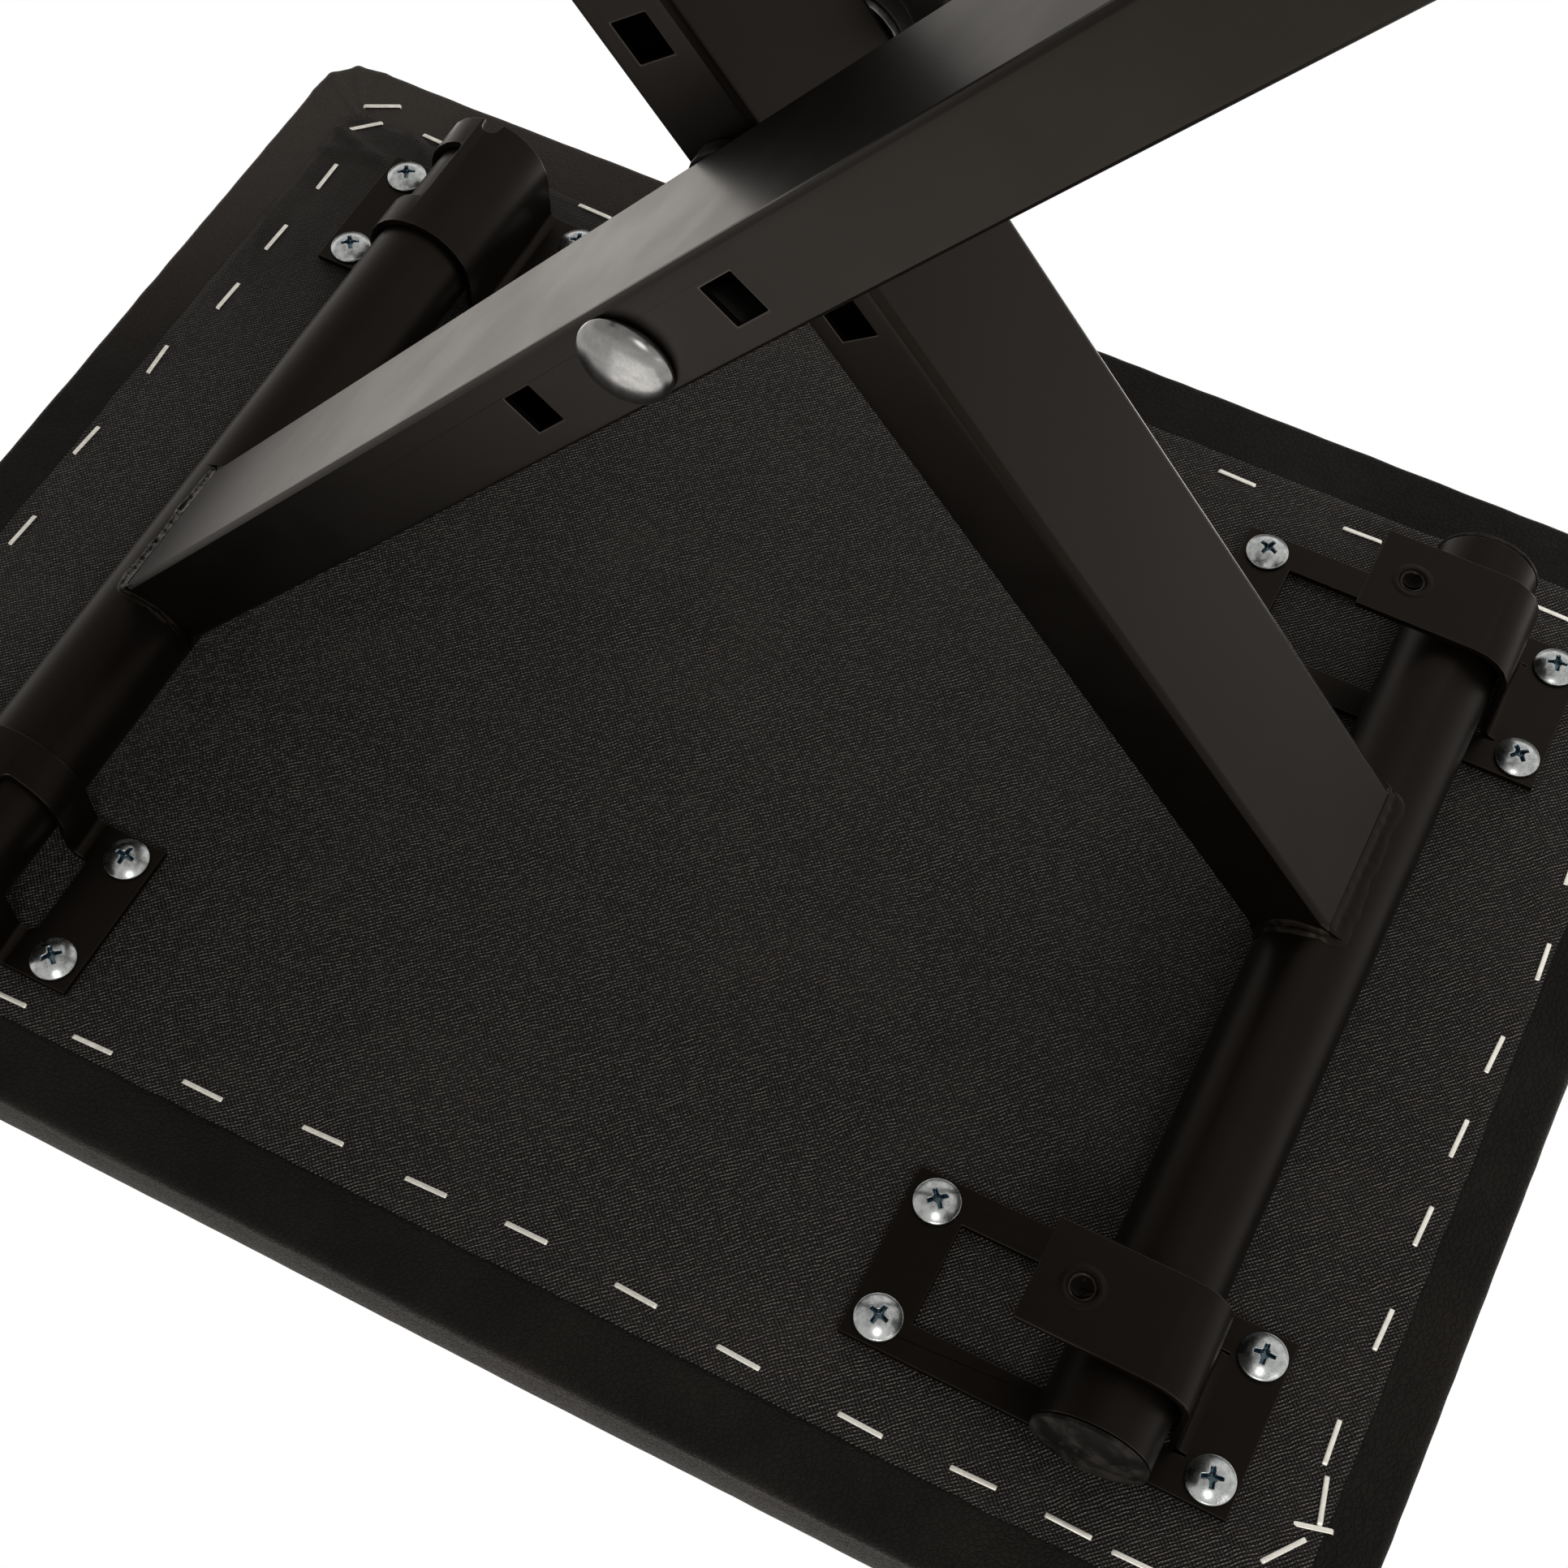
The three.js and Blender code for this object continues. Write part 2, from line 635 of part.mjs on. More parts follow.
// Rubber cup over the end of a foot bar, y = 0 at the bar's end and +y outward, cut flat below.
function footCapBody() {
  const bore = tubeRadius + fitGap;
  const mouth = footCapFloor - footCapLength;
  const closed = fitGap + footCapFloor;
  const cup = turned([
    [0, fitGap],
    [bore, fitGap],
    [bore, mouth],
    [footCapRadius, mouth],
    [footCapRadius, closed - footCapEdge],
    [footCapRadius - footCapEdge, closed],
    [0, closed],
  ], tubeSides);
  const width = 2 * footCapRadius;
  const ground = block(width, 2 * footCapLength, width, 0, 0, -footAxisHeight - footCapRadius);
  return cup.subtract(ground);
}

// Carriage bolt along +y, y = 0 under the head.
const legsAcross = 2 * legWidth + legGap;
const washerStart = legsAcross + 2 * fitGap;
const knobStart = washerStart + washerThickness + fitGap;
const boltLength = knobStart + knobHubHeight + knobThickness + knobBossRise + boltStickOut;

function pivotBoltBody() {
  const steps = 5;
  const pairs = [[0, -boltHeadRise]];
  for (let step = 1; step <= steps; step += 1) {
    const angle = (Math.PI / 2) * (step / steps);
    const domeRise = boltHeadRise - boltHeadRim;
    pairs.push([boltHeadRadius * Math.sin(angle), -boltHeadRim - domeRise * Math.cos(angle)]);
  }
  pairs.push([boltHeadRadius, 0], [boltRadius, 0], [boltRadius, boltLength - boltTipChamfer]);
  pairs.push([boltRadius - boltTipChamfer, boltLength], [0, boltLength]);
  const neck = block(boltNeckSide, boltNeckLength, boltNeckSide, 0, boltNeckLength / 2, 0);
  return turned(pairs, smallSides).add(neck);
}

function ringBody(radius, thickness) {
  const bore = boltRadius + fitGap;
  return turned([[bore, 0], [radius, 0], [radius, thickness], [bore, thickness], [bore, 0]]);
}

// Knob, y = 0 on its hub's face and +y outward: a lobed grip with rounded edges on a round hub.
function knobBody() {
  const outline = [];
  const steps = knobLobes * knobLobeSteps;
  for (let step = 0; step < steps; step += 1) {
    const angle = (4 * quarter * step) / steps;
    const valley = (knobLobeDepth / 2) * (1 - Math.cos(knobLobes * angle));
    const radius = knobRadius - knobEdge - valley;
    outline.push(new THREE.Vector2(radius * Math.cos(angle), radius * Math.sin(angle)));
  }
  const grip = new THREE.ExtrudeGeometry(new THREE.Shape(outline), {
    depth: knobThickness - 2 * knobEdge,
    bevelThickness: knobEdge,
    bevelSize: knobEdge,
    bevelSegments: knobEdgeSteps,
  });
  const gripSolid = solid(grip.rotateX(-quarter).translate(0, knobHubHeight + knobEdge, 0));
  const top = knobHubHeight + knobThickness + knobBossRise;
  const middle = knobHubHeight + knobThickness / 2;
  const core = turned([
    [0, 0],
    [knobHubRadius, 0],
    [knobHubRadius, middle],
    [knobBossRadius, middle],
    [knobBossRadius, top],
    [0, top],
  ]);
  const bore = rodAlongY(boltRadius + fitGap, 2 * (top + cutOverrun), 0, 0, 0, smallSides);
  return gripSolid.add(core).subtract(bore);
}

// The seat, with its underside at z = 0.
function buildSeat() {
  const seat = new THREE.Group();
  seat.position.z = seatUnderside;
  seat.add(piece('seat_cover', seatCoverBody(), blackVinyl()));
  seat.add(piece('seat_foam', seatFoamBody(), finish(0xd8cfae, 0.95, 0)));
  seat.add(piece('seat_board', seatBoardBody(), finish(0xb08a5a, 0.8, 0)));
  seat.add(piece('dust_cover', dustCoverBody(), finish(0x151413, 0.75, 0)));
  for (const end of [-1, 1]) {
    const place = end < 0 ? 'front' : 'rear';
    const hook = piece(`hook_bracket_${place}`, hookBracketBody(), powderCoat());
    hook.position.set(hookTubeX, end * hookStation, 0);
    hook.rotation.z = Math.PI;
    const saddle = piece(`saddle_bracket_${place}`, saddleBracketBody(), powderCoat());
    saddle.position.set(hingeTubeX, end * saddleStation, 0);
    saddle.rotation.z = end < 0 ? Math.PI : 0;
    seat.add(hook, saddle);
  }
  const screwTurnShare = 0.381966; // of a turn, from one screw to the next
  const counts = {};
  screwPlaces.forEach(({ name, x, y }, order) => {
    counts[name] = (counts[name] ?? 0) + 1;
    const screw = piece(`${name}_${counts[name]}`, screwBody(), zinc());
    screw.position.set(x, y, plateBottom - fitGap);
    screw.rotation.z = order * screwTurnShare * 2 * Math.PI;
    seat.add(screw);
  });
  return seat;
}

// One leg with its cross tube and foot bar, about the pivot, leaning to one side.
function buildFrame(name, side, legY) {
  const frame = new THREE.Group();
  frame.position.set(frameOffset, 0, pivotHeight);
  frame.rotation.y = side * lean;
  const leg = piece(`${name}_leg`, legBody(), powderCoat());
  leg.position.y = legY;
  const crossTube = piece(`${name}_cross_tube`, tubeBody(crossTubeLength), powderCoat());
  crossTube.position.z = topArm;
  const footBar = piece(`${name}_foot_bar`, tubeBody(footBarLength), powderCoat());
  footBar.position.z = -footArm;
  frame.add(leg, crossTube, footBar);
  for (const end of [-1, 1]) {
    const place = end < 0 ? 'front' : 'rear';
    const plug = piece(`${name}_tube_plug_${place}`, plugBody(), plastic());
    plug.position.set(0, (end * crossTubeLength) / 2, topArm);
    plug.rotation.z = end < 0 ? Math.PI : 0;
    const cap = piece(`${name}_foot_cap_${place}`, footCapBody(), rubber());
    cap.position.set(0, (end * footBarLength) / 2, -footArm);
    cap.rotation.set(0, -side * lean, end < 0 ? Math.PI : 0);
    frame.add(plug, cap);
  }
  return frame;
}

// The bolt and what it carries turn with the hinge leg, whose square hole holds the bolt's neck.
function addPivot(frame) {
  const boltFace = -legsAcross / 2 - fitGap;
  const bolt = piece('pivot_bolt', pivotBoltBody(), zinc());
  bolt.position.y = boltFace;
  const spacer = piece('leg_spacer', ringBody(spacerRadius, legGap - 2 * fitGap), plastic());
  spacer.position.y = fitGap - legGap / 2;
  const washer = piece('pivot_washer', ringBody(washerRadius, washerThickness), zinc());
  washer.position.y = boltFace + washerStart;
  const knob = piece('pivot_knob', knobBody(), plastic());
  knob.position.y = boltFace + knobStart;
  frame.add(bolt, spacer, washer, knob);
}

const bench = new THREE.Group();
const hingeFrame = buildFrame('hinge', 1, -legStation);
const hookFrame = buildFrame('hook', -1, legStation);
addPivot(hingeFrame);
bench.add(buildSeat(), hingeFrame, hookFrame);

export default bench;
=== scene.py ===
# %% [markdown]
# # A folding keyboard bench, seen from below
#
# The bench is a padded seat on an X of two steel legs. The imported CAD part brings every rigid
# piece at its true size. Here the soft pieces get their real form, the small hardware gets its
# detail, and everything gets a finish. All lengths are metres, in the frame of the CAD part.

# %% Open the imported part
import math
import random

import bmesh
import bpy
import numpy as np
from mathutils import Matrix, Vector, kdtree, noise


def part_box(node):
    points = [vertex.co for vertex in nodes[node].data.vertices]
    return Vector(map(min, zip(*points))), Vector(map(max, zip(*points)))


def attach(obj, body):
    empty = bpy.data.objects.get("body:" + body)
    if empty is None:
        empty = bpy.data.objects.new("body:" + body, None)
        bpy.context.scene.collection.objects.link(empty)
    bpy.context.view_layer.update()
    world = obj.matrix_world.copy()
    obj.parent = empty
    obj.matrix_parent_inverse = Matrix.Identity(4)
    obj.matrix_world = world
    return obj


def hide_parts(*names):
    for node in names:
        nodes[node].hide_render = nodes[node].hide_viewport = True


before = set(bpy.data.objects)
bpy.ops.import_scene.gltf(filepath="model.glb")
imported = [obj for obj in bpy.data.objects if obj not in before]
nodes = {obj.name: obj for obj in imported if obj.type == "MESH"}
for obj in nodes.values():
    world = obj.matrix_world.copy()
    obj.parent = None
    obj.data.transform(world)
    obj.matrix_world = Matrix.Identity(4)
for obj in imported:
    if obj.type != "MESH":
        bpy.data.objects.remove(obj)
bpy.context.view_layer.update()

MM = 0.001
print("pieces in the packed part:", len(nodes))

# %% [markdown]
# ## Where things are
#
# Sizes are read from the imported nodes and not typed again, so a change to the CAD part moves the
# scene's own pieces along with it.

# %% Measure the seat, tubes and legs
cover_low, cover_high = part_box("seat_cover")
cloth_low, cloth_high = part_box("dust_cover")
seat_under = cloth_low.z


def middle(name):
    low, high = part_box(name)
    return (low + high) / 2


hook_tube, hinge_tube = middle("hook_cross_tube"), middle("hinge_cross_tube")
hook_foot, hinge_foot = middle("hook_foot_bar"), middle("hinge_foot_bar")
pivot = middle("leg_spacer")
tube_low, tube_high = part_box("hook_cross_tube")
tube_radius = (tube_high.x - tube_low.x) / 2
lean = math.atan2(hinge_tube.x - pivot.x, hinge_tube.z - pivot.z)
LEG_HALF_X, LEG_HALF_Y, LEG_CORNER = 12.5, 25.0, 2.5  # of a leg's section, in millimetres
print("seat underside at", round(seat_under / MM, 2), "mm, legs lean", round(math.degrees(lean), 2))


# %% Helpers for new pieces
def named(*starts):
    return [name for name in sorted(nodes) if name.startswith(starts)]


def shade_smooth(mesh):
    mesh.polygons.foreach_set("use_smooth", [True] * len(mesh.polygons))


def mesh_of(name, points, faces):
    mesh = bpy.data.meshes.new(name)
    mesh.from_pydata(points, [], faces)
    shade_smooth(mesh)
    return mesh


def add_object(name, data):
    made = bpy.data.objects.new(name, data)
    bpy.context.scene.collection.objects.link(made)
    return made


def set_up(thing, **settings):
    for name, value in settings.items():
        setattr(thing, name, value)
    return thing


def quarter(steps, first=0):
    """Sine and cosine at even steps over a quarter turn."""
    angles = [math.pi / 2 * step / steps for step in range(first, steps + 1)]
    return [(math.sin(angle), math.cos(angle)) for angle in angles]


# %% [markdown]
# ## Small tools for shader nodes
#
# A shader graph in Python is mostly "make a node, fill its sockets, link it". A few helpers keep
# that readable. A socket takes a plain number or the output of another node.


# %% Helpers for nodes
def place(tree, kind, sockets=None, prefix="ShaderNode", **settings):
    made = set_up(tree.nodes.new(prefix + kind), **settings)
    for name, value in (sockets or {}).items():
        if isinstance(value, bpy.types.NodeSocket):
            tree.links.new(value, made.inputs[name])
        else:
            made.inputs[name].default_value = value
    return made


def calc(tree, operation, a, b=0.0, c=0.0):
    return place(tree, "Math", {0: a, 1: b, 2: c}, operation=operation).outputs[0]


def times(tree, a, b):
    return calc(tree, "MULTIPLY", a, b)


def larger(tree, a, b):
    return calc(tree, "MAXIMUM", a, b)


def vector_math(tree, operation, a, b=None):
    second = {} if b is None else {"Scale" if operation == "SCALE" else 1: b}
    return place(tree, "VectorMath", {0: a, **second}, operation=operation).outputs


def ramp(tree, value, low, high, out_low=0.0, out_high=1.0):
    sockets = {"Value": value, 1: low, 2: high, 3: out_low, 4: out_high}
    return place(tree, "MapRange", sockets, interpolation_type="SMOOTHSTEP").outputs[0]


def tint(tree, share, first, second):
    sockets = {0: share}
    for index, colour in ((6, first), (7, second)):
        plain = not isinstance(colour, bpy.types.NodeSocket)
        sockets[index] = (*colour, 1) if plain else colour
    return place(tree, "Mix", sockets, data_type="RGBA").outputs[2]


def speckle(tree, vector, scale, detail=2.0, roughness=0.5):
    sockets = {"Vector": vector, "Scale": scale, "Detail": detail, "Roughness": roughness}
    return place(tree, "TexNoise", sockets).outputs[0]


def cells(tree, vector, scale, feature="F1"):
    sockets = {"Vector": vector, "Scale": scale}
    return place(tree, "TexVoronoi", sockets, feature=feature).outputs["Distance"]


def effect(name, inputs, build):
    """A shader node group. What build returns by name becomes its outputs."""
    tree = bpy.data.node_groups.new(name, "ShaderNodeTree")
    tree.interface.new_socket("Vector", in_out="INPUT", socket_type="NodeSocketVector")
    for label, default in inputs.items():
        socket = tree.interface.new_socket(label, in_out="INPUT", socket_type="NodeSocketFloat")
        socket.default_value = default
    results = build(tree, tree.nodes.new("NodeGroupInput").outputs)
    for label in results:
        tree.interface.new_socket(label, in_out="OUTPUT", socket_type="NodeSocketFloat")
    sink = tree.nodes.new("NodeGroupOutput")
    for label, value in results.items():
        tree.links.new(value, sink.inputs[label])
    print("made", name)
    return tree


def use(tree, group, **sockets):
    return place(tree, "Group", sockets, node_tree=group).outputs


# %% [markdown]
# ## Effects that several finishes share
#
# Powder coat and moulded plastic both have a fine orange peel. Dust settles on all of them.
# Zinc plate is mottled and a little pitted. Each effect is one node group with its own sizes as
# inputs, so that every finish can use it at its own scale.


# %% Orange peel, dust and plate mottle
def build_orange_peel(tree, given):
    where, grain = given["Vector"], given["Grain"]
    broad = speckle(tree, where, times(tree, grain, 0.03), 3.0, 0.6)
    return {"Height": speckle(tree, where, grain, 1.0), "Tone": broad}


def build_dust(tree, given):
    """It lies in patches, with single bright specks."""
    where = given["Vector"]
    patches = ramp(tree, speckle(tree, where, 28.0, 4.0, 0.65), 0.45, 0.75)
    near = ramp(tree, cells(tree, where, 420.0), 0.05, 0.11, 1.0, 0.0)
    rare = ramp(tree, speckle(tree, where, 160.0), 0.6, 0.68)
    both = larger(tree, times(tree, near, rare), times(tree, patches, 0.35))
    return {"Mask": times(tree, both, given["Amount"])}


def build_plate_mottle(tree, given):
    where = given["Vector"]
    hole = ramp(tree, cells(tree, where, 1500.0), 0.12, 0.34, 1.0, 0.0)
    rare = ramp(tree, speckle(tree, where, 190.0), 0.46, 0.62)
    pit = times(tree, times(tree, hole, rare), given["Pits"])
    return {"Tone": speckle(tree, where, 420.0, 4.0, 0.7), "Pit": pit}


orange_peel = effect("Orange peel", {"Grain": 900.0}, build_orange_peel)
dust = effect("Dust", {"Amount": 0.3}, build_dust)
plate_mottle = effect("Plate mottle", {"Pits": 0.5}, build_plate_mottle)

# %% [markdown]
# ## A finish and its surface
#
# Every finish here is one Principled shader. Steady values go on its own sockets, because the
# export reads them there. What changes over the surface comes in by links: colour, roughness and
# the height of one Bump node. The coordinates are the object's own, so a finish stays in place
# when a body moves.


# %% Start and end of a finish
def start_finish(name, **steady):
    material = bpy.data.materials.new(name)
    material.use_nodes = True
    tree = material.node_tree
    shader = tree.nodes["Principled BSDF"]
    for socket, value in steady.items():
        shader.inputs[socket.replace("_", " ")].default_value = value
    where = place(tree, "TexCoord").outputs["Object"]
    return material, tree, shader, where


def end_finish(tree, shader, colour, gloss, height, depth, strength=1.0):
    bump = place(tree, "Bump", {"Height": height, "Distance": depth, "Strength": strength})
    for name, value in (("Base Color", colour), ("Roughness", gloss), ("Normal", bump.outputs[0])):
        tree.links.new(value, shader.inputs[name])
    return bump


# %% [markdown]
# ## Powder coat
#
# The legs, tubes and brackets are steel with a satin black powder coat. It is baked on in one
# thin skin, warm black, with a faint orange peel and a little dust. The roughness varies softly,
# which breaks up the long reflections on the flat sides of the legs. Where the coat has pooled on
# edges and flowed over a weld it is smoother, and in a pressed dimple smoother still.


# %% Finish of the steel
def make_powder_coat(name, specular, rough, rougher, dents=()):
    material, tree, shader, where = start_finish(
        name, Specular_IOR_Level=specular, Specular_Tint=(1.0, 0.86, 0.74, 1.0)
    )
    peel = use(tree, orange_peel, Vector=where, Grain=1100.0)
    settled = use(tree, dust, Vector=where, Amount=0.07)
    colour = tint(tree, settled["Mask"], (0.0013, 0.001, 0.0008), (0.05, 0.044, 0.038))
    gloss = ramp(tree, peel["Tone"], 0.3, 0.7, rough, rougher)
    pools, rims = [], []
    for dent in dents:
        away = vector_math(tree, "DISTANCE", where, dent)["Value"]
        pooled = ramp(tree, away, 3.6 * MM, 4.6 * MM, 1.0, 0.0)
        gloss = calc(tree, "MULTIPLY_ADD", pooled, calc(tree, "SUBTRACT", 0.1, gloss), gloss)
        near = calc(tree, "ABSOLUTE", calc(tree, "SUBTRACT", away, 4.9 * MM))
        rims.append(ramp(tree, near, 0.0, 1.5 * MM, 1.0, 0.0))
        pools.append(pooled)
    bump = end_finish(tree, shader, colour, gloss, peel["Height"], 0.02 * MM, 0.16)
    if dents:
        shine = calc(tree, "MULTIPLY_ADD", larger(tree, *pools), -0.08, specular)
        tree.links.new(shine, shader.inputs["Specular IOR Level"])
        rim = place(tree, "Bump", {"Height": larger(tree, *rims), "Distance": 0.3 * MM})
        tree.links.new(rim.outputs[0], bump.inputs["Normal"])
    print("made", name)
    return material


powder_coat = make_powder_coat("satin_powder_coat", 0.12, 0.36, 0.4)
pooled_coat = make_powder_coat("pooled_powder_coat", 0.26, 0.28, 0.34)
flowed_coat = make_powder_coat("flowed_powder_coat", 0.08, 0.2, 0.26)

# %% [markdown]
# ## Zinc plate
#
# Screws, staples, washer and bolt are bright zinc. The heads of the wood screws are mottled with
# small pits. The carriage bolt is smoother. One function makes both, with its own values.


# %% Finish of the fasteners
def make_zinc(name, colour, dark, rough, rougher, pits, depth=0.02 * MM, metal=1.0):
    material, tree, shader, where = start_finish(name, Metallic=metal)
    mottle = use(tree, plate_mottle, Vector=where, Pits=pits)
    base = tint(tree, ramp(tree, mottle["Tone"], 0.35, 0.65), colour, dark)
    base = tint(tree, times(tree, mottle["Pit"], 0.75), base, (0.09, 0.085, 0.08))
    gloss = ramp(tree, mottle["Tone"], 0.3, 0.7, rough, rougher)
    height = calc(tree, "SUBTRACT", times(tree, mottle["Tone"], 0.25), mottle["Pit"])
    end_finish(tree, shader, base, gloss, height, depth, 0.8)
    print("made", name)
    return material


def paint_recess_shade(material):
    """Paints the cross recess of a screw dark blue, as painted shade in the recess."""
    tree = material.node_tree
    base = tree.nodes["Principled BSDF"].inputs["Base Color"]
    split = place(tree, "SeparateXYZ", {0: place(tree, "TexCoord").outputs["Object"]}).outputs
    size_x, size_y = calc(tree, "ABSOLUTE", split[0]), calc(tree, "ABSOLUTE", split[1])
    narrow = ramp(tree, calc(tree, "MINIMUM", size_x, size_y), 0.55 * MM, 0.8 * MM, 1.0, 0.0)
    short = ramp(tree, larger(tree, size_x, size_y), 2.8 * MM, 3.2 * MM, 1.0, 0.0)
    # Painted shade: the recess is tinted a dark blue.
    inside = times(tree, times(tree, narrow, short), 0.85)
    tree.links.new(tint(tree, inside, base.links[0].from_socket, (0.07, 0.14, 0.19)), base)


screw_zinc = make_zinc("pitted_zinc", (0.56, 0.6, 0.62), (0.36, 0.39, 0.41), 0.2, 0.34, 0.9)
paint_recess_shade(screw_zinc)
bolt_zinc = make_zinc(
    "smooth_zinc", (0.25, 0.255, 0.255), (0.2, 0.205, 0.21), 0.2, 0.26, 0.0, 0.003 * MM
)
staple_zinc = make_zinc(
    "galvanised_wire", (0.92, 0.92, 0.87), (0.74, 0.74, 0.7), 0.36, 0.5, 0.2, metal=0.7
)

# %% [markdown]
# ## Plastic and rubber
#
# The plugs in the tube ends are matte moulded plastic that has rubbed grey in clouds. The foot
# cups are soft rubber. Both are dark and dusty, and only their roughness and clouds differ.


# %% Finish of plugs, spacer, knob and foot cups
def make_moulded(name, dark, pale, rough, clouds, specular):
    material, tree, shader, where = start_finish(name, Specular_IOR_Level=specular)
    peel = use(tree, orange_peel, Vector=where, Grain=1500.0)
    cloud = ramp(tree, speckle(tree, where, 120.0, 5.0, 0.7), 0.42, 0.72)
    settled = use(tree, dust, Vector=where, Amount=0.4)
    share = larger(tree, times(tree, cloud, clouds), settled["Mask"])
    gloss = ramp(tree, peel["Tone"], 0.3, 0.7, rough, rough + 0.14)
    colour = tint(tree, share, dark, pale)
    end_finish(tree, shader, colour, gloss, peel["Height"], 0.05 * MM, 0.6)
    print("made", name)
    return material


plug_plastic, knob_plastic, foot_rubber = (
    make_moulded(*values)
    for values in (
        ("rubbed_plastic", (0.003, 0.0028, 0.0026), (0.045, 0.042, 0.038), 0.46, 0.7, 0.06),
        ("knob_plastic", (0.005, 0.0048, 0.0046), (0.025, 0.024, 0.022), 0.4, 0.15, 0.25),
        ("foot_rubber", (0.009, 0.0086, 0.008), (0.035, 0.033, 0.03), 0.62, 0.4, 0.2),
    )
)

# %% [markdown]
# ## Vinyl
#
# The seat is covered in black vinyl with a leather grain: rounded cells of two to four
# millimetres with creases between them, finer cells inside, and soft wrinkles. Voronoi cells give
# the creases, and a noise that bends the coordinates keeps them from looking like a honeycomb.


# %% Leather grain as an effect
def build_leather_grain(tree, given):
    where, scale = given["Vector"], given["Cells"]
    bend = place(tree, "TexNoise", {"Vector": where, "Scale": 240.0, "Detail": 2.0})
    shift = vector_math(tree, "SCALE", bend.outputs["Color"], 0.0022)[0]
    bent = vector_math(tree, "ADD", where, shift)[0]
    big = cells(tree, bent, scale, "DISTANCE_TO_EDGE")
    small = cells(tree, bent, times(tree, scale, 2.3), "DISTANCE_TO_EDGE")
    big_height, small_height = ramp(tree, big, 0.0, 0.16), ramp(tree, small, 0.0, 0.2)
    return {
        "Height": calc(tree, "MULTIPLY_ADD", small_height, 0.35, big_height),
        "Crease": ramp(tree, big, 0.0, 0.09, 1.0, 0.0),
    }


leather_grain = effect("Leather grain", {"Cells": 330.0}, build_leather_grain)


# %% A corner painted pale, as a painted sheen
def sheen_corner_mask(tree, where, low, high):
    """Mask of a painted sheen: 0 on most of the underside and 1 at the corner over the hinge tube.
    """
    split = place(tree, "SeparateXYZ", {0: where}).outputs
    share_x = calc(tree, "DIVIDE", split[0], cover_high.x * 2)
    share_y = calc(tree, "DIVIDE", split[1], cover_high.y * 2)
    corner = ramp(tree, calc(tree, "ADD", share_x, share_y), low, high)
    under = ramp(tree, split[2], seat_under + 4 * MM, seat_under + 18 * MM, 1.0, 0.0)
    return times(tree, corner, under)


# %% Finish of the seat's cover
def make_vinyl():
    material, tree, shader, where = start_finish("black_vinyl", Specular_IOR_Level=0.055)
    grain = use(tree, leather_grain, Vector=where, Cells=600.0)
    settled = use(tree, dust, Vector=where, Amount=0.25)
    worn = ramp(tree, speckle(tree, where, 16.0, 4.0, 0.6), 0.35, 0.7)
    base = tint(tree, worn, (0.0085, 0.0077, 0.007), (0.0135, 0.0122, 0.011))
    for share, colour in (
        # Painted shade: the creases of the grain are darkened.
        (times(tree, grain["Crease"], 0.4), (0.003, 0.0028, 0.0026)),
        (settled["Mask"], (0.045, 0.042, 0.038)),
        # Painted sheen: the corner over the hinge tube is painted paler.
        (sheen_corner_mask(tree, where, 0.5, 0.95), (0.048, 0.0425, 0.039)),
    ):
        base = tint(tree, share, base, colour)
    gloss = calc(tree, "MULTIPLY_ADD", grain["Crease"], 0.16, 0.5)
    end_finish(tree, shader, base, gloss, grain["Height"], 0.16 * MM, 0.9)
    return material


vinyl = make_vinyl()
print("made", vinyl.name)

# %% [markdown]
# ## Embossed dust cloth
#
# The underside is closed with a thin black cloth that is embossed with fine crossed lines, at
# 45 degrees to the edges of the seat and about 1 mm apart. The lines wander a little, like
# hand-drawn hatching. Between them stand small pads, and the crest of each is painted with a
# short bright dash, a painted highlight. Two sine waves make the lines, noise shifts their
# phase, and a random number for each pad, from the count of lines on either side, makes some
# painted glints brighter than others.


# %% Crossed emboss as an effect
def build_crossed_emboss(tree, given):
    where = given["Vector"]
    split = place(tree, "SeparateXYZ", {0: where}).outputs
    along = times(tree, calc(tree, "ADD", split[0], split[1]), math.sqrt(0.5))
    across = times(tree, calc(tree, "SUBTRACT", split[0], split[1]), math.sqrt(0.5))
    waves, counts = [], []
    for line, stretch, offset in ((along, 1.0, 0.0), (across, 1.04, 3.7)):
        moved = vector_math(tree, "ADD", where, (offset, 0, 0))[0]
        slow = speckle(tree, moved, 30.0)
        quick = times(tree, speckle(tree, moved, 240.0, 1.0), 0.8)
        shift = times(tree, calc(tree, "MULTIPLY_ADD", slow, 3.8, quick), given["Wander"])
        steps = calc(tree, "DIVIDE", line, given["Pitch"])
        turns = calc(tree, "MULTIPLY_ADD", steps, stretch, shift)
        wave = calc(tree, "SINE", times(tree, turns, math.pi))
        waves.append(calc(tree, "ABSOLUTE", wave))
        counts.append(calc(tree, "FLOOR", turns))
    number = place(tree, "CombineXYZ", {0: counts[0], 1: counts[1]}).outputs[0]
    chance = place(tree, "TexWhiteNoise", {"Vector": number}).outputs["Value"]
    first, second = waves
    pads = times(tree, calc(tree, "POWER", first, 0.8), calc(tree, "POWER", second, 0.4))
    uneven = calc(tree, "MULTIPLY_ADD", chance, 0.4, 0.6)
    crest = ramp(tree, first, 0.88, 1.0)
    broken = ramp(tree, second, 0.1, 0.7, 0.3, 1.0)
    # Painted highlight: a short bright dash on the crest of each pad, brighter on some pads than
    # others.
    painted_glint = times(tree, times(tree, crest, broken), ramp(tree, chance, 0.1, 1.0, 0.05, 1.0))
    # Fainter painted glints along the crest lines of the second family.
    cross = times(tree, ramp(tree, second, 0.92, 1.0), ramp(tree, first, 0.2, 0.9, 0.1, 1.0))
    faint = times(tree, cross, ramp(tree, chance, 0.0, 1.0, 0.4, 0.0))
    return {
        "Height": times(tree, pads, uneven),
        "Pad": ramp(tree, pads, 0.35, 0.85),
        "Painted glint": larger(tree, painted_glint, faint),
    }


crossed_emboss = effect("Crossed emboss", {"Pitch": 1.2 * MM, "Wander": 1.0}, build_crossed_emboss)


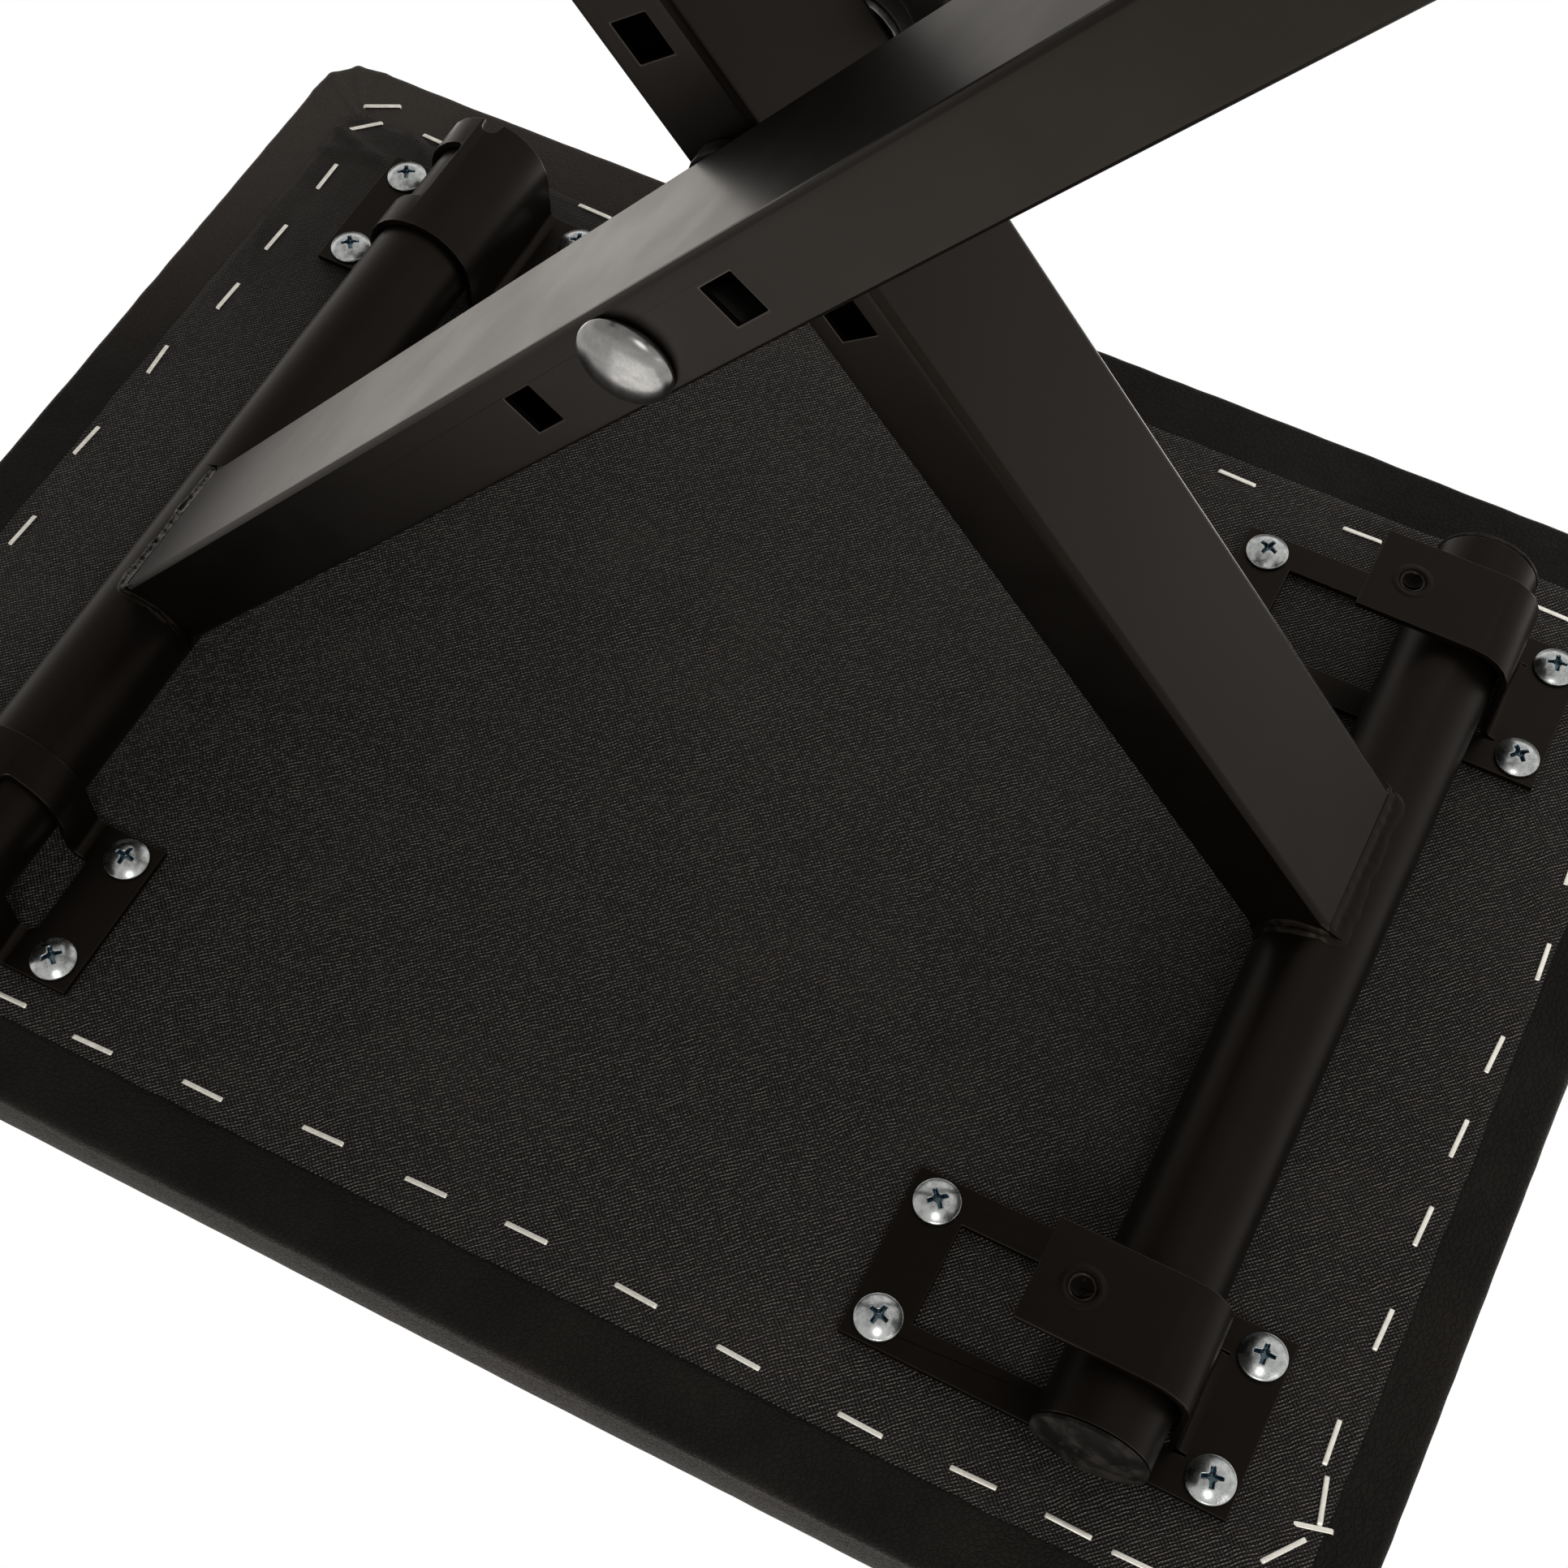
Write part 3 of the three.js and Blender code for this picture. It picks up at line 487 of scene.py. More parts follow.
# %% Finish of the dust cloth
def make_dust_cloth():
    material, tree, shader, where = start_finish("embossed_cloth", Specular_IOR_Level=0.14)
    emboss = use(tree, crossed_emboss, Vector=where, Pitch=0.98 * MM, Wander=1.0)
    settled = use(tree, dust, Vector=where, Amount=0.3)
    # Painted shade: the grooves between the pads are painted near black.
    base = tint(tree, emboss["Pad"], (0.0008, 0.0007, 0.0006), (0.0058, 0.0051, 0.0046))
    # Painted sheen: the corner over the hinge tube is painted paler, with fewer painted glints and a
    # flatter emboss.
    sheen_corner = sheen_corner_mask(tree, where, 0.45, 0.85)
    for share, colour in (
        # The painted glints of the emboss, fewer at the corner with the painted sheen.
        (times(tree, emboss["Painted glint"], ramp(tree, sheen_corner, 0.0, 1.0, 1.0, 0.15)), (0.2, 0.19, 0.184)),
        # The painted sheen of the corner.
        (times(tree, sheen_corner, 0.6), (0.016, 0.014, 0.0125)),
        (settled["Mask"], (0.06, 0.056, 0.05)),
    ):
        base = tint(tree, share, base, colour)
    gloss = ramp(tree, emboss["Pad"], 0.0, 1.0, 0.6, 0.3)
    height = times(tree, emboss["Height"], ramp(tree, sheen_corner, 0.0, 1.0, 1.0, 0.5))
    end_finish(tree, shader, base, gloss, height, 0.36 * MM)
    return material


dust_cloth = make_dust_cloth()
print("made", dust_cloth.name)

# %% [markdown]
# ## Plywood and foam
#
# Both are inside the seat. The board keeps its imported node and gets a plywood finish, for the
# case that the seat is opened. The foam has no finish of its own, because the pad stands for it.


# %% Finish of the board
def make_plywood():
    material, tree, shader, where = start_finish("plywood", Specular_IOR_Level=0.3)
    stretched = place(tree, "Mapping", {"Vector": where, "Scale": (1.0, 14.0, 40.0)}).outputs[0]
    streaks = speckle(tree, stretched, 22.0, 6.0, 0.65)
    base = tint(tree, streaks, (0.42, 0.27, 0.14), (0.68, 0.5, 0.31))
    gloss = ramp(tree, streaks, 0.3, 0.7, 0.6, 0.8)
    end_finish(tree, shader, base, gloss, streaks, 0.1 * MM, 0.5)
    return material


plywood = make_plywood()
print("made", plywood.name)

# %% [markdown]
# ## Crisp but not razor sharp
#
# Pressed sheet and sawn tube have edges with a radius of a few tenths of a millimetre, and the
# coat makes them rounder. These fine edges catch the light as thin lines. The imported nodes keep
# their mesh. Modifiers weld the split points, bevel what is sharper than an angle, and then
# shade smooth across everything that bends less than that.

# %% Modifiers from geometry nodes
SHARP = math.radians(38)


def modifier_tree(name, build):
    tree = bpy.data.node_groups.new(name, "GeometryNodeTree")
    for side in ("INPUT", "OUTPUT"):
        tree.interface.new_socket("Geometry", in_out=side, socket_type="NodeSocketGeometry")
    result = build(tree, tree.nodes.new("NodeGroupInput").outputs[0])
    tree.links.new(result, tree.nodes.new("NodeGroupOutput").inputs[0])
    return tree


def change(tree, kind, geometry, sockets=None, **settings):
    sockets = {0: geometry, **(sockets or {})}
    return place(tree, kind, sockets, "GeometryNode", **settings).outputs[0]


def build_smoother(tree, geometry):
    geometry = change(tree, "RemoveAttribute", geometry, {"Name": "custom_normal"})
    geometry = change(tree, "SetShadeSmooth", geometry, domain="FACE")
    angle = place(tree, "InputMeshEdgeAngle", prefix="GeometryNode").outputs["Unsigned Angle"]
    gentle = place(tree, "Compare", {0: angle, 1: SHARP}, "FunctionNode", operation="LESS_THAN")
    shade = {"Shade Smooth": gentle.outputs[0]}
    return change(tree, "SetShadeSmooth", geometry, shade, domain="EDGE")


smoother = modifier_tree("Smooth up to an angle", build_smoother)
print("made", smoother.name)


def add_flat_welds(name, tube_axis):
    """Brings what stands out from a leg's four sides back to them. That is only the plain bead of
    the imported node, which the scene's own bead then covers."""
    node = nodes[name]
    back = node.matrix_world.inverted()
    towards = (pivot - tube_axis).normalized()
    start = back @ Vector((tube_axis.x, middle(name).y, tube_axis.z))
    sides = (((towards.z, 0, -towards.x), LEG_HALF_X * MM), ((0, 1, 0), LEG_HALF_Y * MM))

    def build(tree, geometry):
        spot = place(tree, "InputPosition", prefix="GeometryNode").outputs[0]
        away = vector_math(tree, "SUBTRACT", spot, start)[0]
        offset = (0, 0, 0)
        for direction, half in sides:
            direction = back.to_3x3() @ Vector(direction)
            far = vector_math(tree, "DOT_PRODUCT", away, direction)["Value"]
            held = larger(tree, calc(tree, "MINIMUM", far, half), -half)
            push = vector_math(tree, "SCALE", direction, calc(tree, "SUBTRACT", held, far))[0]
            offset = vector_math(tree, "ADD", offset, push)[0]
        moved = change(tree, "SetPosition", geometry, {"Offset": offset})
        return change(tree, "MergeByDistance", moved, {"Distance": 0.06 * MM})

    flattener = modifier_tree("Flat welds of " + name, build)
    node.modifiers.new("Flat welds", "NODES").node_group = flattener


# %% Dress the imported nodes
def dress(name, material, edge, edge_material=None):
    node = nodes[name]
    if not node.material_slots:
        node.data.materials.append(material)
    for held in node.material_slots:
        held.material = material
    if edge_material:
        node.data.materials.append(edge_material)
    add = node.modifiers.new
    set_up(add("Weld", "WELD"), merge_threshold=0.002 * MM)
    if edge:
        bevel = set_up(add("Edge", "BEVEL"), width=edge, segments=2, use_clamp_overlap=False)
        last_slot = len(node.material_slots) - 1 if edge_material else -1
        set_up(bevel, limit_method="ANGLE", angle_limit=SHARP, material=last_slot)
    set_up(add("Smooth", "NODES"), node_group=smoother)
    set_up(add("Flat faces stay flat", "WEIGHTED_NORMAL"), keep_sharp=True, weight=100)


def dent_of(name):
    """The middle of a hook's pressed dimple, in the bracket's own coordinates."""
    low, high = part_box(name)
    dimple_from_axis = 17.3 * MM
    dimple = Vector((hook_tube.x + dimple_from_axis, (low.y + high.y) / 2, low.z))
    return nodes[name].matrix_world.inverted() @ dimple


add_flat_welds("hinge_leg", hinge_tube)
add_flat_welds("hook_leg", hook_tube)
hooks = named("hook_bracket")
dents = [dent_of(name) for name in hooks]
dented_coat = make_powder_coat("dented_powder_coat", 0.12, 0.36, 0.4, dents)
steel = named("saddle_bracket", "hinge_leg", "hook_leg")
steel += named("hinge_cross", "hook_cross", "hinge_foot_bar", "hook_foot_bar")
for names, material, edge, edge_material in (
    (hooks, dented_coat, 0.35 * MM, pooled_coat),
    (steel, powder_coat, 0.35 * MM, pooled_coat),
    (named("hinge_tube_plug", "hook_tube_plug", "leg_spacer"), plug_plastic, 0.3 * MM, None),
    (named("hinge_foot_cap", "hook_foot_cap"), foot_rubber, 0.4 * MM, None),
    (["pivot_washer"], bolt_zinc, 0.2 * MM, None),
    (["pivot_knob"], knob_plastic, 0.5 * MM, None),
    (["seat_board"], plywood, 0, None),
):
    for name in names:
        dress(name, material, edge, edge_material)
print("dressed", len(steel) + len(hooks), "steel nodes")

# %% [markdown]
# ## The pad
#
# The seat's pad is foam under stretched vinyl. Its sides swell a little, the shoulders are round
# and the top is crowned. The vinyl is pulled over the board's lower edge and lies flat below it.
# A stack of rounded rectangles gives the closed form, and a short cloth simulation with air
# pressure inside gives it the tension of real upholstery. The underside is held still.


# %% Loops of the pad
def rounded_loop(half_x, half_y, radius, height, corner_steps=16, long_steps=92, short_steps=68):
    points = []
    corners = ((1, -1, -0.5), (1, 1, 0.0), (-1, 1, 0.5), (-1, -1, 1.0))
    for index, (sign_x, sign_y, turn) in enumerate(corners):
        centre = (sign_x * (half_x - radius), sign_y * (half_y - radius))
        for step in range(corner_steps + 1):
            angle = math.pi * (turn + step / corner_steps / 2)
            x = centre[0] + radius * math.cos(angle)
            y = centre[1] + radius * math.sin(angle)
            points.append((x, y, height))
        after_x, after_y, after_turn = corners[(index + 1) % 4]
        angle = math.pi * after_turn
        x = after_x * (half_x - radius) + radius * math.cos(angle)
        y = after_y * (half_y - radius) + radius * math.sin(angle)
        steps = short_steps if after_x == sign_x else long_steps
        last = points[-1]
        for step in range(1, steps):
            share = step / steps
            points.append((last[0] + (x - last[0]) * share, last[1] + (y - last[1]) * share, height))
    return points


def closed_stack(points, count):
    """Faces that close loops of equal length, with a point at either end."""
    faces = []
    top = len(points) - 1 - count
    for i in range(count):
        j = (i + 1) % count
        faces.append((0, 1 + j, 1 + i))
        for low in range(1, top, count):
            faces.append((low + i, low + j, low + count + j, low + count + i))
        faces.append((top + i, top + j, len(points) - 1))
    return faces


def stack(name, loops, first, last):
    points = [first] + [point for loop in loops for point in loop] + [last]
    return add_object(name, mesh_of(name, points, closed_stack(points, len(loops[0]))))


# %% Form of the pad before it is inflated
SLACK = 0.4 * MM
pad_half_x, pad_half_y = cover_high.x - SLACK, cover_high.y - SLACK
pad_floor = cover_low.z
roll = 3.0 * MM
shoulder_start, shoulder_reach = 20 * MM, 33 * MM
crown_rise, corner_radius = 8 * MM, 15 * MM
pad_rise = cover_high.z - seat_under


def pad_loops():
    loops = []

    def inner(share_x, share_y, radius, height):
        loops.append(rounded_loop(share_x, share_y, radius, height))

    def inset_loop(inset, radius, height):
        inner(pad_half_x - inset, pad_half_y - inset, radius, height)

    for share in (0.3, 0.55, 0.75):
        inner(pad_half_x * share, pad_half_y * share, corner_radius * share, pad_floor)
    for inset in (24 * MM, 19 * MM, 15 * MM, 12 * MM, 9.5 * MM, 7 * MM, 5 * MM):
        inset_loop(inset, corner_radius - 0.5 * inset, pad_floor)
    for sine, cosine in quarter(5):
        inset_loop(roll * (1 - sine), corner_radius, pad_floor + roll * (1 - cosine))
    for height in (5 * MM, 7.5 * MM, 10 * MM, 13 * MM, 16.5 * MM):
        inset_loop(0, corner_radius, seat_under + height)
    rise = pad_rise - crown_rise - shoulder_start - 3 * MM
    for sine, cosine in quarter(11):
        inset = shoulder_reach * (1 - cosine)
        height = seat_under + shoulder_start + rise * sine
        inset_loop(inset, max(corner_radius, inset + 10 * MM), height)
    flat_x, flat_y = pad_half_x - shoulder_reach, pad_half_y - shoulder_reach
    for share in (0.94, 0.86, 0.76, 0.64, 0.5, 0.34, 0.17):
        height = seat_under + shoulder_start + rise + crown_rise * (1 - share * share)
        inner(flat_x * share, flat_y * share, 43 * MM * share, height)
    return loops, seat_under + shoulder_start + rise + crown_rise


loops, crown_height = pad_loops()
raw_pad = stack("raw_pad", loops, (0, 0, pad_floor), (0, 0, crown_height))
print("pad starts", round((crown_height - pad_floor) / MM, 1), "mm thick")


# %% Inflate the pad
def keep_result(thing):
    """Replaces the mesh by what its modifiers make of it."""
    graph = bpy.context.evaluated_depsgraph_get()
    mesh = bpy.data.meshes.new_from_object(thing.evaluated_get(graph), depsgraph=graph)
    thing.modifiers.clear()
    thing.data = mesh


def read(mesh, what="co"):
    flat = np.zeros(len(mesh.vertices) * 3)
    mesh.vertices.foreach_get(what, flat)
    return flat.reshape(-1, 3)


def inflate(thing, pressure, frames, farthest, held_below):
    """Where the points of an even mesh start, and how far each one moves."""
    scene = bpy.context.scene
    start = read(thing.data)
    held = thing.vertex_groups.new(name="held")
    held.add([int(i) for i in np.flatnonzero(start[:, 2] < held_below)], 1.0, "REPLACE")
    flat_x, flat_y = pad_half_x - 60 * MM, pad_half_y - 60 * MM
    inner = (np.abs(start[:, 0]) < flat_x) & (np.abs(start[:, 1]) < flat_y)
    held.add([int(i) for i in np.flatnonzero(inner & (start[:, 2] > held_below))], 0.8, "REPLACE")
    cloth = thing.modifiers.new("Cloth", "CLOTH")
    vinyl = set_up(cloth.settings, quality=5, shear_stiffness=12, bending_stiffness=1.5)
    set_up(vinyl, tension_stiffness=30, compression_stiffness=30, vertex_group_mass="held")
    set_up(vinyl, use_pressure=True, uniform_pressure_force=pressure)
    vinyl.effector_weights.gravity = 0
    cloth.point_cache.frame_end = frames
    for number in range(1, frames + 1):
        scene.frame_set(number)
    graph = bpy.context.evaluated_depsgraph_get()
    moved = read(thing.evaluated_get(graph).data) - start
    length = np.linalg.norm(moved, axis=1)
    print("pad swelled by up to", round(length.max() / MM, 1), "mm")
    scene.frame_set(1)
    return start, moved * np.minimum(1, farthest / np.maximum(length, 1e-9))[:, None]


def even_copy(thing, size):
    copy = add_object("even_pad", thing.data.copy())
    set_up(copy.modifiers.new("Remesh", "REMESH"), mode="VOXEL", voxel_size=size)
    keep_result(copy)
    return copy


def follow(thing, start, moved):
    """Moves each point as the simulated points near it moved."""
    tree = kdtree.KDTree(len(start))
    for index, point in enumerate(start):
        tree.insert(point, index)
    tree.balance()
    points = read(thing.data)
    for index, point in enumerate(points):
        near = tree.find_n(point, 10)
        weights = [1 / (distance + 1 * MM) for _, _, distance in near]
        push = sum(moved[other] * weight for (_, other, _), weight in zip(near, weights))
        points[index] += push / sum(weights)
    thing.data.vertices.foreach_set("co", points.ravel())


def reach_out(thing, extra):
    """The hinge side and the rear side bulge a little more than the other two."""
    points = read(thing.data)
    for axis, half in ((0, pad_half_x), (1, pad_half_y)):
        share = np.clip((points[:, axis] - (half - 45 * MM)) / (45 * MM), 0, 1)
        points[:, axis] += extra * share * share * (3 - 2 * share)
    thing.data.vertices.foreach_set("co", points.ravel())


print("pad mesh:", len(raw_pad.data.vertices), "points")
even_pad = even_copy(raw_pad, 4.5 * MM)
start, moved = inflate(even_pad, 4.0, 20, 4 * MM, pad_floor + 3 * MM)
follow(raw_pad, start, moved)
bpy.data.objects.remove(even_pad)
reach_out(raw_pad, 2.4 * MM)

# %% [markdown]
# The vinyl is gathered where it turns round a corner: a few pleats fan out from the corner below
# the seat and fade up the side. Fine wrinkles cross the rolled lower edge everywhere. Both are
# pushed into the mesh after the simulation, along the direction that faces away from the pad.


# %% Pleats and wrinkles in the vinyl
def refined(grid, wraps):
    """Twice the points along the first axis, on a smooth curve through the old ones."""
    before, after = (grid[-1:], grid[:2]) if wraps else (grid[:1], grid[-1:])
    ring = np.concatenate([before, grid, after])
    between = (9 * (ring[1:-2] + ring[2:-1]) - ring[:-3] - ring[3:]) / 16
    result = np.empty((len(grid) + len(between), *grid.shape[1:]))
    result[0::2], result[1::2] = grid, between
    return result


def finer_pad(coarse, columns):
    points = read(coarse.data)
    grid = refined(points[1:-1].reshape(-1, columns, 3), wraps=False)
    grid = refined(grid.transpose(1, 0, 2), wraps=True).transpose(1, 0, 2)
    made = stack("seat_pad", [row.tolist() for row in grid], points[0], points[-1])
    bpy.data.objects.remove(coarse)
    return made


def gather_vinyl(mesh):
    points, normals = read(mesh), read(mesh, "normal")
    above = points[:, 2] - pad_floor
    dx = np.abs(points[:, 0]) - (pad_half_x - 26 * MM)
    dy = np.abs(points[:, 1]) - (pad_half_y - 26 * MM)
    angle = np.arctan2(dy, dx) * np.sign(points[:, 0]) * np.sign(points[:, 1])
    fan = np.zeros(len(points))
    pleats = ((0.3, 0.06, 0.25), (0.62, 0.07, 0.6), (0.92, 0.07, 0.75), (1.22, 0.06, 0.3))
    for turn, width, tall in pleats:
        off = (np.abs(angle) - turn) / width
        fan += tall * np.exp(-off * off) * np.where(off > 0, 1.0, np.exp(-0.3 * off * off))
    near = np.clip((np.hypot(dx, dy) - 4 * MM) / (14 * MM), 0, 1) * ((dx > 0) & (dy > 0))
    low = np.exp(-((np.maximum(above - 3 * MM, 0) / (9 * MM)) ** 2))
    push = fan * near * low * 1.35 * MM
    for i, (x, y, z) in enumerate(points / MM):
        if above[i] < 40 * MM:
            small = noise.noise(Vector((x / 9, y / 9, z / 26)))
            push[i] += 0.28 * MM * small * math.exp(-above[i] / (16 * MM))
        if above[i] >= 3 * MM:
            push[i] += 0.35 * MM * noise.noise(Vector((x / 55, y / 55, z / 30 + 4)))
    inside = (np.abs(points[:, 0]) < cloth_high.x) & (np.abs(points[:, 1]) < cloth_high.y)
    push[(above < 0.6 * MM) & inside] = 0
    moved = points + normals * push[:, None]
    moved[:, 2] = np.maximum(moved[:, 2], pad_floor - 0.5 * MM)
    for axis in (0, 1):
        lowest, highest = cover_low[axis] - 5 * MM, cover_high[axis] + 5 * MM
        moved[:, axis] = np.clip(moved[:, axis], lowest, highest)
    mesh.vertices.foreach_set("co", moved.ravel())
    mesh.update()


pad = finer_pad(raw_pad, len(loops[0]))
gather_vinyl(pad.data)
pad.data.materials.append(vinyl)
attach(pad, "seat")
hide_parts("seat_cover", "seat_foam")
print("pad has", len(pad.data.polygons), "faces")

# %% [markdown]
# ## Staples
#
# Flat galvanised staples hold the cloth and the vinyl, about 33 mm apart and 20 to 27 mm in from
# the edge, and set by hand, so none is quite in line. Each is a flat wire with a 12.8 mm crown
# whose ends turn into the wood. Their places come first, because the cloth dips at each one.

# %% Places of the staples
front_row = (142.7, 113.2, 78.4, 42.2, 9.4, -20.9, -55.1, -87.0, -122.9, -154.4, -181.0, -199.6)
front_off = (165.3, 166.4, 164.1, 160.3, 160.3, 159.3, 161.2, 163.8, 165.3, 164.4, 164.6, 165.2)
hook_row = ((-237.0, 43.1), (-234.1, 9.2), (-233.6, -19.5), (-233.5, -47.9), (-233.9, -79.8))
hook_row += ((-232.5, -114.1), (-234.6, 76.4), (-233.2, 108.8), (-234.4, 138.2))
hook_corner = ((-235.8, -129.2, 78), (-234.7, -137.1, -15), (-231.4, -145.6, -52))
hinge_row = ((233.9, -30.4), (236.7, 8.2), (235.5, 46.6), (230.1, 80.0), (230.1, 109.1))
hinge_row += ((229.8, 140.6), (234.4, -63.2), (232.6, -97.0), (233.5, -130.4))
hinge_corner = ((230.8, 166.4, -42), (230.4, 177.6, -29))
rear_row = ((204.5, 172.3), (140.8, 168.8), (-95.6, 163.7), (-138.8, 161.0), (-200.5, 159.9))
rear_row += ((173.6, 170.6), (107.0, 167.4), (73.8, 165.2), (40.4, 166.8), (8.2, 165.0))
rear_row += ((-26.4, 164.2), (-61.0, 164.9), (-170.2, 160.8))


def staple_places():
    draw = random.Random(4)
    places = []

    def add_row(row, turn, stray):
        for x, y in row:
            places.append((x, y, turn + draw.uniform(-stray, stray)))

    add_row([(x, -off) for x, off in zip(front_row, front_off)], 0, 3)
    add_row(((178.0, -164.6), (212.0, -163.4)), 0, 4)
    places.append((229.5, -157.0, 38.0))
    add_row(hook_row, 90, 4)
    add_row(hinge_row, 90, 5)
    places.extend(hook_corner + hinge_corner)
    add_row(rear_row, 0, 3)
    places.append((-226.4, 152.6, 42.0))
    return [(x * MM, y * MM, math.radians(turn)) for x, y, turn in places]


places = staple_places()
print(len(places), "staples")

# %% [markdown]
# ## The dust cloth
#
# It is one sheet of thin cloth, stretched over the underside and a little wavy along its hand-cut
# edge. A fine grid carries soft waves, a dip at each staple, and the folds near the hinge side's
# rear corner. It stays above the bracket plates, which press it against the board.

# %% Rise and fall of the cloth
plate_boxes = [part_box(name) for name in named("hook_bracket", "saddle_bracket")]


def ridge(x, y, x0, y0, x1, y1, width):
    """1 on a line between two points, falling off to 0 beside it and past its ends."""
    dx, dy = x1 - x0, y1 - y0
    long = math.hypot(dx, dy)
    along = ((x - x0) * dx + (y - y0) * dy) / long
    off = ((x - x0) * dy - (y - y0) * dx) / long
    ends = max(0.0, min(1.0, along / (long * 0.3), (long - along) / (long * 0.3)))
    return math.exp(-((off / width) ** 2)) * ends * ends * (3 - 2 * ends)


folds = (
    (252, 166, 190, 146, 2.0, 1.3),
    (246, 150, 205, 158, 1.7, 0.9),
    (226, 180, 186, 150, 1.8, 1.1),
    (214, 182, 202, 150, 1.5, 0.7),
    (238, 138, 214, 96, 2.2, 0.8),
    (243, 128, 226, 80, 1.6, 0.6),
    (-244, -152, -214, -128, 2.4, 0.5),
    (-238, 140, -206, 118, 2.4, 0.5),
    (236, -148, 206, -124, 2.4, 0.5),
)


def clear_of_plates(x, y):
    """0 under a bracket's plate and 1 well away from it."""
    nearest = 1.0
    for low, high in plate_boxes:
        dx = max(low.x / MM - x, 0, x - high.x / MM)
        dy = max(low.y / MM - y, 0, y - high.y / MM)
        nearest = min(nearest, math.hypot(dx, dy) / 7)
    return nearest


def cloth_drop(x, y, stray=0.0):
    """How far the cloth hangs below the board at a place, in millimetres."""
    drop = 0.16 + 0.2 * noise.noise(Vector((x / 38, y / 30, 1.5)))
    drop += 0.07 * noise.noise(Vector((x / 9, y / 9, 7.5)))
    for x0, y0, x1, y1, width, tall in folds:
        drop += tall * ridge(x, y, x0, y0, x1, y1, width)
    for px, py, turn in places:
        dx, dy = x - px / MM, y - py / MM
        if dx * dx + dy * dy < 400:
            along = dx * math.cos(turn) + dy * math.sin(turn)
            off = dy * math.cos(turn) - dx * math.sin(turn)
            drop -= 0.42 * math.exp(-((along / 8.5) ** 2) - (off / 3.2) ** 2)
            drop += 0.22 * math.exp(-((along / 15) ** 2) - ((abs(off) - 6) / 3) ** 2)
    drop += 0.2 * stray * noise.noise(Vector((x / 14, y / 14, 2)))
    return drop * clear_of_plates(x, y)


# %% The cloth's mesh
def make_cloth(step):
    half_x, half_y, corner = cloth_high.x / MM, cloth_high.y / MM, 8
    count_x, count_y = round(2 * half_x / step), round(2 * half_y / step)
    points, faces = [], []
    for row in range(count_y + 1):
        for column in range(count_x + 1):
            x = half_x * (2 * column / count_x - 1)
            y = half_y * (2 * row / count_y - 1)
            over_x, over_y = abs(x) - (half_x - corner), abs(y) - (half_y - corner)
            if over_x > 0 and over_y > 0:
                shrink = max(over_x, over_y) / math.hypot(over_x, over_y)
                x = math.copysign(half_x - corner + over_x * shrink, x)
                y = math.copysign(half_y - corner + over_y * shrink, y)
            stray = math.exp(-min(half_x - abs(x), half_y - abs(y)) / 10)
            x += math.copysign(stray * 0.9 * noise.noise(Vector((y / 17, 3.3, 0))), x)
            y += math.copysign(stray * 0.9 * noise.noise(Vector((x / 17, 9.1, 0))), y)
            drop = min(cloth_drop(x, y, stray), 1.9)
            points.append((x * MM, y * MM, seat_under + 0.3 * MM - drop * MM))
    width = count_x + 1
    for row in range(count_y):
        for i in range(row * width, row * width + count_x):
            faces.append((i, i + width, i + width + 1, i + 1))
    made = add_object("dust_cloth_sheet", mesh_of("dust_cloth_sheet", points, faces))
    set_up(made.modifiers.new("Thickness", "SOLIDIFY"), thickness=0.45 * MM, offset=-1)
    keep_result(made)
    shade_smooth(made.data)
    return made


cloth = make_cloth(2.4)
cloth.data.materials.append(dust_cloth)
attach(cloth, "seat")
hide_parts("dust_cover")


# %% Shape one staple and set them all
def swept(path, section):
    """Points and faces of a section carried along a path in the XZ plane of the staple."""
    points, faces = [], []
    count = len(section)
    for index, (x, z) in enumerate(path):
        before, after = path[max(index - 1, 0)], path[min(index + 1, len(path) - 1)]
        tx, tz = after[0] - before[0], after[1] - before[1]
        long = math.hypot(tx, tz)
        for across, thick in section:
            points.append((x - tz / long * thick, across, z + tx / long * thick))
    for low in range(0, len(points) - count, count):
        for i in range(count):
            j = (i + 1) % count
            faces.append((low + i, low + j, low + count + j, low + count + i))
    faces.append(tuple(reversed(range(count))))
    faces.append(tuple(range(len(points) - count, len(points))))
    return points, faces


def staple_shape():
    half, bend, dip = 6.4, 0.7, 2.2
    side = [(half, dip), (half, bend)]
    for sine, cosine in quarter(4, 1):
        side.append((half - bend + bend * cosine, bend - bend * sine))
    path = [(-x, z) for x, z in side]
    path += [(share * half, 0.0) for share in (-0.6, -0.2, 0.2, 0.6)]
    path += reversed(side)
    section = []
    for step in range(12):
        angle = 2 * math.pi * step / 12
        wide = 0.74 * math.copysign(abs(math.cos(angle)) ** 0.6, math.cos(angle))
        thick = 0.27 * math.copysign(abs(math.sin(angle)) ** 0.6, math.sin(angle))
        section.append((wide, thick))
    return swept(path, section)


def make_staples():
    shape, shape_faces = staple_shape()
    draw = random.Random(9)
    points, faces = [], []
    for x, y, turn in places:
        first = len(points)
        tip = draw.uniform(-0.03, 0.03)
        level = seat_under - cloth_drop(x / MM, y / MM) * MM
        cosine, sine = math.cos(turn), math.sin(turn)
        for px, py, pz in shape:
            across = (x + (px * cosine - py * sine) * MM, y + (px * sine + py * cosine) * MM)
            points.append((*across, level + (pz + tip * px) * MM))
        faces.extend(tuple(first + i for i in face) for face in shape_faces)
    return add_object("staples", mesh_of("staples", points, faces))


staples = make_staples()
staples.data.materials.append(staple_zinc)
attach(staples, "seat")
print("staple mesh:", len(staples.data.polygons), "faces")

# %% [markdown]
# ## Wood screws
#
# Every bracket is held by four screws with a round washer head and a cross recess. A head that
# is only turned would need a cut for the recess. Here the head is a fine polar grid, and the
# recess is pushed into it, so its rim comes out softly rounded as on a stamped screw.


# %% One screw
def clamped(value):
    return max(0.0, min(1.0, value))


